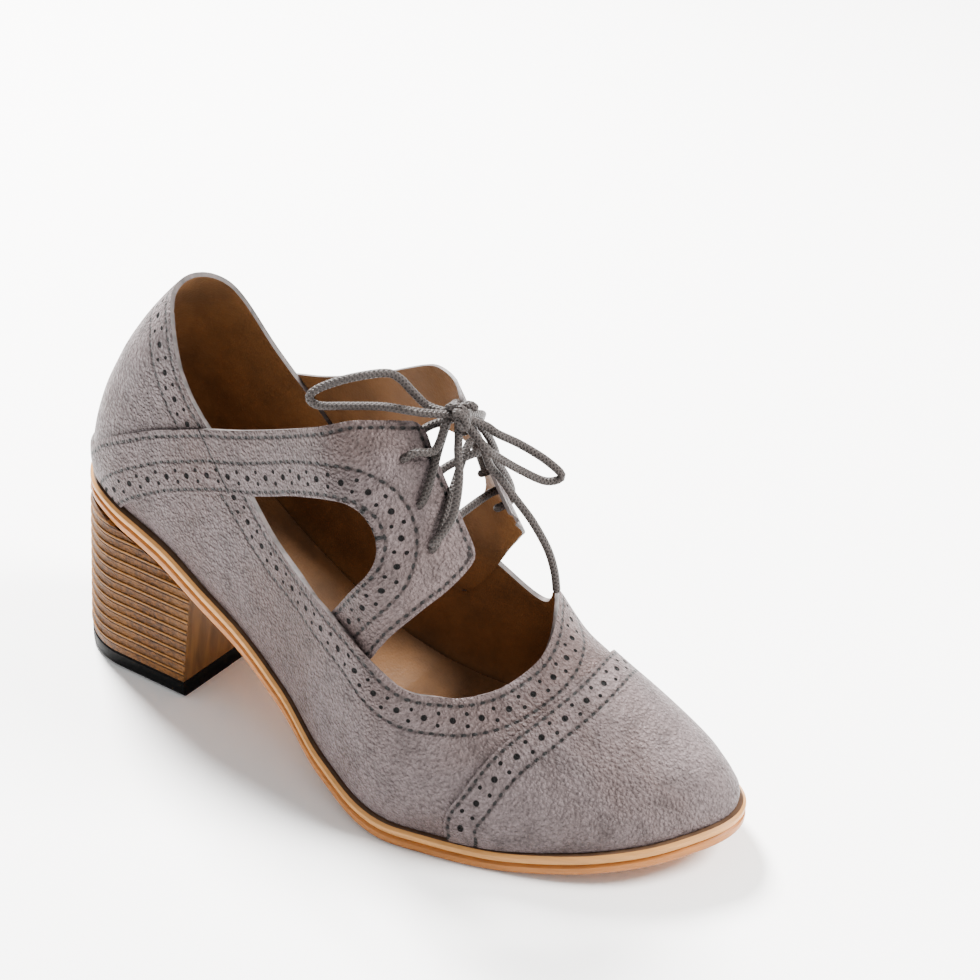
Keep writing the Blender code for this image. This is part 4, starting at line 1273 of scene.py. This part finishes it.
class SHOE_OT_saddle_strap(bpy.types.Operator):
    """Saddle strap with its eyestays and legs, raised over the counter"""
    bl_idname = "shoe.saddle_strap"
    bl_label = "Saddle strap"

    def execute(self, context):
        sizes = context.scene.shoe_sizes
        bm = last_mesh()
        tree = BVHTree.FromBMesh(bm)
        soften(bm, 0.00018)
        region = heights_to_profile(STRAP_TOP, INSTEP_HEIGHT, 12)
        region += heights_to_profile(LEG_FRONT, INSTEP_HEIGHT, 12)
        region += heights_to_profile(STRAP_FOOT, INSTEP_HEIGHT, 12)
        region.append((-0.04 * SHOE_LENGTH, -0.02))
        gap = plan_curve(EYESTAY_LATERAL, 12) + plan_curve(EYESTAY_MEDIAL, 12)
        trim(bm, lambda p: polygon_distance(side_view(p), region))
        trim(bm, lambda p: -polygon_distance(top_view(p), gap))
        even_edge(bm, above_sole, 4)
        feet = [side_line(tree, STRAP_FOOT, INSTEP_HEIGHT, side) for side in ("lateral", "medial")]
        tops = [side_line(tree, STRAP_TOP, INSTEP_HEIGHT, side) for side in ("lateral", "medial")]
        fronts = [side_line(tree, LEG_FRONT, INSTEP_HEIGHT, side) for side in ("lateral", "medial")]
        fronts += [top_line(tree, EYESTAY_LATERAL), top_line(tree, EYESTAY_MEDIAL)]
        strip_map(bm, "foot_row", feet)
        strip_map(bm, "foot_trim", feet, 0.0080)
        strip_map(bm, "top_row", tops)
        strip_map(bm, "front_row", fronts)
        seam_map(bm, "back_seam", BACK_SEAM[0], BACK_SEAM[1])
        grow(bm, strap_step, tree)
        obj = to_object(bm, "saddle_strap")
        give_wall(obj, sizes.strap_wall, 0.0003,
                  leather_set("strap_leather", [("foot_trim", 0.0058, 0.0104)],
                              [("foot_row", 0.0014), ("top_row", 0.0021), ("front_row", 0.0019)],
                              [("back_seam", 0.0003)]))
        bpy.ops.mesh.primitive_cylinder_add(vertices=20, radius=sizes.eyelet_diameter / 2, depth=0.010)
        punch = context.object
        pattern = punch.data
        whole = bmesh.new()
        for row in EYELETS:
            for side in ("lateral", "medial"):
                place, normal = from_above(tree, row.along * SHOE_LENGTH,
                                           getattr(row, side) * BALL_WIDTH)
                if normal.z < 0:
                    normal = -normal
                turn = normal.to_track_quat("Z", "Y").to_matrix().to_4x4()
                one = pattern.copy()
                one.transform(Matrix.Translation(place + ORIGIN) @ turn)
                whole.from_mesh(one)
        whole.to_mesh(pattern)
        whole.free()
        cut = obj.modifiers.new("eyelets", "BOOLEAN")
        cut.operation = "DIFFERENCE"
        cut.solver = "EXACT"
        cut.object = punch
        apply_modifiers(obj)
        bpy.data.objects.remove(punch, do_unlink=True)
        smooth_shade(obj, radians(50))
        settle(obj, ["upper"])
        return {"FINISHED"}


class SHOE_OT_toe_cap(bpy.types.Operator):
    """Toe cap laid over the vamp"""
    bl_idname = "shoe.toe_cap"
    bl_label = "Toe cap"

    def execute(self, context):
        sizes = context.scene.shoe_sizes
        bm = last_mesh()
        tree = BVHTree.FromBMesh(bm)
        soften(bm, 0.00020, [
            ((0.200, -0.030, 0.026), (0.216, -0.014, 0.030), 0.0030, -0.0004),
        ])
        seam = plan_curve(CAP_SEAM, 12)
        front = seam + [(SHOE_LENGTH * 1.1, BALL_WIDTH), (SHOE_LENGTH * 1.1, -BALL_WIDTH)]
        trim(bm, lambda p: polygon_distance(top_view(p), front))
        edge = boundary_line(bm, lambda p: p.x < SHOE_LENGTH * 0.80 and p.z > SOLE_THICKNESS + 0.003)
        strip_map(bm, "seam_row", [edge])
        strip_map(bm, "seam_trim", [edge], 0.0070)
        grow(bm, GAP + sizes.cap_wall)
        obj = to_object(bm, "cap")
        give_wall(obj, sizes.cap_wall, 0.0003,
                  leather_set("cap_leather", [("seam_trim", 0.0052, 0.0095)],
                              [("seam_row", 0.0013)]))
        settle(obj, ["toe_cap"])
        return {"FINISHED"}


def sole_plate(name, low_depth, high_depth):
    """A plate that follows the sole between two depths, with rounded edges and its own top."""
    loop = loop_of(outline())
    levels = [(low_depth, 0.0007), (low_depth + 0.0002, 0.0003), (low_depth + 0.0007, 0.0),
              ((low_depth + high_depth) / 2, -0.0001), (high_depth - 0.0007, 0.0),
              (high_depth - 0.0003, 0.0005), (high_depth, 0.0009)]
    bm = bmesh.new()
    rings = []
    for depth, inset in levels:
        rings.append([bm.verts.new((x, y, sole_level(min(max(x, 0), SHOE_LENGTH), depth)))
                      for x, y in inset_loop(loop, inset)])
    count = len(loop)
    for low, high in zip(rings, rings[1:]):
        for i in range(count):
            j = (i + 1) % count
            bm.faces.new((low[i], low[j], high[j], high[i]))
    for number, ring in enumerate((rings[0], rings[-1])):
        for face in pairs_across(count):
            bm.faces.new([ring[i] for i in face]).material_index = number
    bmesh.ops.recalc_face_normals(bm, faces=bm.faces)
    return to_object(bm, name)


class SHOE_OT_sole(bpy.types.Operator):
    """Welt and outsole with their waxed edges, and the insole's lining"""
    bl_idname = "shoe.sole"
    bl_label = "Welt and outsole"

    def execute(self, context):
        colours = context.scene.shoe_colours
        welt = sole_plate("welt", OUTSOLE_THICKNESS + GAP, SOLE_THICKNESS)
        settle(welt, ["midsole"],
               [sole_edge_finish("welt_edge", colours.welt, colours, 0.5),
                welt_top_finish("welt_top", colours)])
        outsole = sole_plate("outsole_plate", 0.0, OUTSOLE_THICKNESS)
        settle(outsole, ["outsole"],
               [sole_edge_finish("outsole_edge", colours.sole, colours, 0.6),
                welt_top_finish("outsole_top", colours)])
        for obj in (welt, outsole):
            smooth_shade(obj, radians(35))
        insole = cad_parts["insole"]
        insole.data.materials.clear()
        insole.data.materials.append(lining_finish("insole_leather", colours))
        return {"FINISHED"}


class SHOE_OT_heel(bpy.types.Operator):
    """Stacked heel with raised ridges, and its rubber tip"""
    bl_idname = "shoe.heel"
    bl_label = "Stacked heel"

    def execute(self, context):
        colours = context.scene.shoe_colours
        base = HEEL_TIP_THICKNESS + GAP
        layers = int((HEEL_HEIGHT - base) / STACK_PITCH) + 1
        levels = [(base, 0.0)]
        for layer in range(layers):
            crest = base + (layer + 1) * STACK_PITCH - RIDGE_WIDTH / 2
            for share, rise in ((-0.62, 0.0), (-0.40, 0.35), (-0.15, 0.95), (0.15, 0.95),
                                (0.40, 0.35), (0.62, 0.0)):
                levels.append((crest + RIDGE_WIDTH * share, RIDGE_DEPTH * rise))
        heel = self.stack("heel_stack", [heel_ring(level, extra) for level, extra in levels])
        reach = HEEL_BREAST_TOP * 1.4
        seat = [(reach * k / 60, underside(reach * k / 60)
                 - GAP * hypot(1.0, sole_slope(reach * k / 60))) for k in range(61)]
        profile = [(-0.01, seat[0][1] - 0.01 * sole_slope(0.0))] + seat
        profile += [(reach, HEEL_HEIGHT * 1.6), (-0.01, HEEL_HEIGHT * 1.6)]
        bm = bmesh.new()
        near = [bm.verts.new((x, -SEAT_WIDTH, z)) for x, z in profile]
        far = [bm.verts.new((x, SEAT_WIDTH, z)) for x, z in profile]
        bm.faces.new(near)
        bm.faces.new(far)
        for i in range(len(profile)):
            j = (i + 1) % len(profile)
            bm.faces.new((near[i], near[j], far[j], far[i]))
        bmesh.ops.recalc_face_normals(bm, faces=bm.faces)
        above = to_object(bm, "above_heel")
        cut = heel.modifiers.new("seat", "BOOLEAN")
        cut.operation = "DIFFERENCE"
        cut.solver = "EXACT"
        cut.object = above
        apply_modifiers(heel)
        bpy.data.objects.remove(above, do_unlink=True)
        settle(heel, ["heel"], [heel_finish("stacked_bands", colours),
                                              breast_finish("heel_breast", colours)])
        for polygon in heel.data.polygons:
            polygon.material_index = 1 if polygon.normal.x > 0.9 else 0
        smooth_shade(heel, radians(60))
        rings = []
        for level, extra in ((0.0, -0.0009), (0.0003, -0.0003), (0.0009, 0.0002),
                             (HEEL_TIP_THICKNESS - 0.0004, 0.0002), (HEEL_TIP_THICKNESS, -0.0002)):
            rings.append([(x, y, level) for x, y, z in heel_ring(base, extra)])
        tip = self.stack("rubber_tip", rings)
        settle(tip, ["heel_tip"], [rubber_finish("tip_rubber", colours)])
        smooth_shade(tip, radians(40))
        return {"FINISHED"}

    def stack(self, name, rings):
        """Closed body through rings with a round back and a flat breast."""
        bm = bmesh.new()
        levels = [[bm.verts.new(p) for p in ring] for ring in rings]
        bm.faces.new(levels[0])
        bm.faces.new(levels[-1])
        for low, high in zip(levels, levels[1:]):
            for i in range(len(low) - 1):
                bm.faces.new((low[i], low[i + 1], high[i + 1], high[i]))
        bm.faces.new([ring[0] for ring in levels] + [ring[-1] for ring in reversed(levels)])
        bmesh.ops.recalc_face_normals(bm, faces=bm.faces)
        return to_object(bm, name)


def tube(bm, points, radius, layer, sides=16):
    """Round cord along the points, with domed ends and its length as a UV map."""
    points = [Vector(p) for p in points]
    ways = []
    for k in range(len(points)):
        ways.append((points[min(k + 1, len(points) - 1)] - points[max(k - 1, 0)]).normalized())
    across = ways[0].orthogonal().normalized()
    lengths = [0.0]
    for a, b in zip(points, points[1:]):
        lengths.append(lengths[-1] + (b - a).length)
    stations = [(points[0] - ways[0] * radius * s, radius * (1 - s * s) ** 0.5, 0) for s in (0.95, 0.6)]
    stations += [(p, radius, k) for k, p in enumerate(points)]
    last = len(points) - 1
    stations += [(points[-1] + ways[-1] * radius * s, radius * (1 - s * s) ** 0.5, last)
                 for s in (0.6, 0.95)]
    rings = []
    for place, size, k in stations:
        way = ways[k]
        across = (across - way * across.dot(way)).normalized()
        up = way.cross(across)
        ring = []
        for i in range(sides):
            angle = 2 * pi * i / sides
            ring.append(bm.verts.new(place + (across * cos(angle) + up * sin(angle)) * size))
        rings.append((ring, lengths[k]))
    for (low, a), (high, b) in zip(rings, rings[1:]):
        for i in range(sides):
            j = (i + 1) % sides
            face = bm.faces.new((low[i], low[j], high[j], high[i]))
            turns = (i / sides, (i + 1) / sides, (i + 1) / sides, i / sides)
            for loop, turn, length in zip(face.loops, turns, (a, a, b, b)):
                loop[layer].uv = (length, turn)
    bm.faces.new(rings[0][0][::-1])
    bm.faces.new(rings[-1][0])


def cord_piece(name, routes, radius):
    bm = bmesh.new()
    layer = bm.loops.layers.uv.new("along")
    for route in routes:
        tube(bm, route, radius, layer)
    bmesh.ops.recalc_face_normals(bm, faces=bm.faces)
    obj = to_object(bm, name)
    smooth_shade(obj, radians(60))
    return obj


def fine_route(points, spacing=0.0011):
    return evened(smooth_path([tuple(p) for p in points], 10), spacing)


class SHOE_OT_lace(bpy.types.Operator):
    """Waxed lace through the eyelets, with its bow"""
    bl_idname = "shoe.lace"
    bl_label = "Lace and bow"

    def execute(self, context):
        scene = context.scene
        radius = scene.shoe_sizes.lace_diameter / 2
        material = lace_finish("waxed_braid", scene.shoe_colours, radius * 2)
        bm = last_mesh()
        tree = BVHTree.FromBMesh(bm)
        bm.free()
        knot = Vector((KNOT.along * SHOE_LENGTH, KNOT.across * BALL_WIDTH, KNOT.height * INSTEP_HEIGHT))
        over = STRAP_STEP + radius + 0.0003
        under = -radius - 0.0004

        def lifted(along, across, lift):
            place, normal = from_above(tree, along * SHOE_LENGTH, across * BALL_WIDTH)
            return place + (normal if normal.z > 0 else -normal) * lift

        def strand(start, side, end, other):
            here = EYELETS[start]
            there = EYELETS[end]
            a = getattr(here, side)
            b = getattr(there, other)
            edge_a = -0.112 if side == "lateral" else 0.088
            edge_b = -0.112 if other == "lateral" else 0.088
            span = b - a

            def at(across, lift):
                share = (across - a) / span
                return lifted(here.along + (there.along - here.along) * share, across, lift)

            return [lifted(here.along, a, under - 0.0015), lifted(here.along, a, 0.0012),
                    at(a + (edge_a - a) * 0.22, over + 0.0004), at(a + (edge_a - a) * 0.7, over),
                    at(edge_a + (edge_b - edge_a) * 0.12, over * 0.6),
                    at(edge_a + (edge_b - edge_a) * 0.85, under * 0.7),
                    at(edge_b + (b - edge_b) * 0.45, under),
                    lifted(there.along, b, under - 0.0002)]

        routes = [strand(2, "lateral", 1, "medial"), strand(1, "lateral", 0, "medial")]
        routes += [[p for p in strand(2, "medial", 1, "lateral")],
                   [p for p in strand(1, "medial", 0, "lateral")]]
        bottom = EYELETS[2]
        routes.append([lifted(bottom.along, bottom.lateral, 0.0004),
                       lifted(bottom.along + 0.001, bottom.lateral * 0.86, under - 0.0006),
                       lifted(bottom.along + 0.001, bottom.medial * 0.80, under - 0.0006),
                       lifted(bottom.along, bottom.medial, 0.0004)])
        for side in ("lateral", "medial"):
            top = EYELETS[0]
            across = getattr(top, side)
            inner = -0.13 if side == "lateral" else 0.10
            routes.append([lifted(top.along, across, under - 0.0015), lifted(top.along, across, 0.0012),
                           lifted(top.along + 0.004, across * 0.86, over + 0.0006),
                           lifted(top.along + 0.014, inner, over + 0.0012),
                           knot + Vector((-0.002, -0.003 if side == "lateral" else 0.003, -0.001))])
        crossings = cord_piece("lace_strands", [fine_route(r) for r in routes], radius)
        settle(crossings, ["lace_crossings"], [material])

        turns = []
        for k in range(31):
            angle = 2 * pi * k / 14
            turns.append(knot + Vector((0.0036 * sin(angle * 0.5 + 0.4), (k / 30 - 0.5) * 0.0062
                                        + 0.0012 * sin(angle), 0.0028 * cos(angle))))
        second = []
        for k in range(25):
            angle = 2 * pi * k / 16
            second.append(knot + Vector((0.0030 * cos(angle), 0.0012 * sin(angle * 0.5),
                                         0.0026 * sin(angle) + (k / 24 - 0.5) * 0.0018)))
        tied = cord_piece("bow_knot", [fine_route(turns), fine_route(second)], radius)
        settle(tied, ["lace_knot"], [material])

        for name, node, rows, end, extra in (
                ("bow_loop_left", "lace_loop_left", LOOP_LEFT, "knot", (tied,)),
                ("bow_loop_right", "lace_loop_right", LOOP_RIGHT, "knot", ()),
                ("bow_end_left", "lace_end_left", END_LEFT, "bare", ()),
                ("bow_end_right", "lace_end_right", END_RIGHT, "bare", ())):
            places = [Vector((r.along * SHOE_LENGTH, r.across * BALL_WIDTH, r.height * INSTEP_HEIGHT))
                      for r in rows]
            places = [places[0] + (knot - places[0]) * 0.75] + places
            if end == "knot":
                places.append(places[-1] + (knot - places[-1]) * 0.75)
            route = fine_route(places)
            piece = cord_piece(name, [route], radius)
            settle(piece, [node], [material])
        return {"FINISHED"}


# Stage

VIEW_AZIMUTH = radians(34.383)
VIEW_ELEVATION = radians(30.836)
VIEW_ROLL = radians(1.713)
VIEW_DISTANCE = 0.758
VIEW_LENS = 90.1
VIEW_SHIFT_RIGHT = 0.02971
VIEW_SHIFT_UP = 0.03321
VIEW_TARGET = (0.1162, 0.0, 0.050)


def area_light(name, place, target, size, power, colour):
    light = bpy.data.lights.new(name, "AREA")
    light.shape = "DISK"
    light.size = size
    light.energy = power
    light.color = colour
    obj = bpy.data.objects.new(name, light)
    bpy.context.scene.collection.objects.link(obj)
    obj.location = place
    obj.rotation_euler = (Vector(target) - Vector(place)).to_track_quat("-Z", "Y").to_euler()
    return obj


class SHOE_OT_stage(bpy.types.Operator):
    """Pale floor, soft studio light and the camera"""
    bl_idname = "shoe.stage"
    bl_label = "Studio"

    def execute(self, context):
        scene = context.scene
        clear_selection()
        bpy.ops.mesh.primitive_plane_add(size=12.0, location=(0.0, 0.0, -0.0002))
        floor = context.object
        floor.name = "studio_floor"
        paint = Paint("studio_paper", scene.shoe_colours.floor, 0.9)
        floor.data.materials.append(paint.finish())
        world = bpy.data.worlds.new("studio")
        scene.world = world
        world.use_nodes = True
        world.node_tree.nodes["Background"].inputs["Color"].default_value = (1.0, 1.0, 1.0, 1.0)
        world.node_tree.nodes["Background"].inputs["Strength"].default_value = 0.85
        area_light("key", (-0.75, 0.40, 1.05), (0.0, 0.0, 0.05), 0.36, 132.0, (1.0, 0.985, 0.97))
        area_light("fill", (0.85, 0.45, 1.00), (0.0, 0.0, 0.05), 0.6, 64.0, (1.0, 0.98, 0.95))
        back = Vector((sin(VIEW_AZIMUTH) * cos(VIEW_ELEVATION),
                       -cos(VIEW_AZIMUTH) * cos(VIEW_ELEVATION), sin(VIEW_ELEVATION)))
        level = Vector((cos(VIEW_AZIMUTH), sin(VIEW_AZIMUTH), 0.0))
        rise = back.cross(level)
        right = level * cos(VIEW_ROLL) + rise * sin(VIEW_ROLL)
        up = rise * cos(VIEW_ROLL) - level * sin(VIEW_ROLL)
        target = Vector(VIEW_TARGET) + ORIGIN + right * VIEW_SHIFT_RIGHT + up * VIEW_SHIFT_UP
        camera_data = bpy.data.cameras.new("photo_view")
        camera_data.lens = VIEW_LENS
        camera_data.sensor_width = 36.0
        camera_data.clip_start = 0.01
        camera = bpy.data.objects.new("photo_view", camera_data)
        scene.collection.objects.link(camera)
        place = target + back * VIEW_DISTANCE
        camera.matrix_world = Matrix((
            (right.x, up.x, back.x, place.x), (right.y, up.y, back.y, place.y),
            (right.z, up.z, back.z, place.z), (0.0, 0.0, 0.0, 1.0)))
        scene.camera = camera
        return {"FINISHED"}


class SHOE_PT_panel(bpy.types.Panel):
    """Lists the pieces of the shoe with their sizes and colours"""
    bl_idname = "SHOE_PT_panel"
    bl_label = "Heeled Oxford"
    bl_space_type = "VIEW_3D"
    bl_region_type = "UI"
    bl_category = "Shoe"

    def draw(self, context):
        layout = self.layout
        for group in (context.scene.shoe_sizes, context.scene.shoe_colours):
            for name in group.__annotations__:
                layout.prop(group, name)
        for operator in STEPS:
            layout.operator(operator.bl_idname)


STEPS = (SHOE_OT_stage, SHOE_OT_lace, SHOE_OT_quarters, SHOE_OT_saddle_strap, SHOE_OT_toe_cap,
         SHOE_OT_sole, SHOE_OT_heel)
CLASSES = (ShoeSizes, ShoeColours, SHOE_PT_panel) + STEPS


def register():
    for each in CLASSES:
        bpy.utils.register_class(each)
    bpy.types.Scene.shoe_sizes = bpy.props.PointerProperty(type=ShoeSizes)
    bpy.types.Scene.shoe_colours = bpy.props.PointerProperty(type=ShoeColours)


def unregister():
    del bpy.types.Scene.shoe_sizes
    del bpy.types.Scene.shoe_colours
    for each in reversed(CLASSES):
        bpy.utils.unregister_class(each)


def main():
    register()
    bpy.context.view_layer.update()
    bpy.ops.shoe.stage()
    bpy.ops.shoe.lace()
    bpy.ops.shoe.quarters()
    bpy.ops.shoe.saddle_strap()
    bpy.ops.shoe.toe_cap()
    bpy.ops.shoe.sole()
    bpy.ops.shoe.heel()
    clear_selection()
    bpy.context.view_layer.update()


if __name__ == "__main__":
    main()
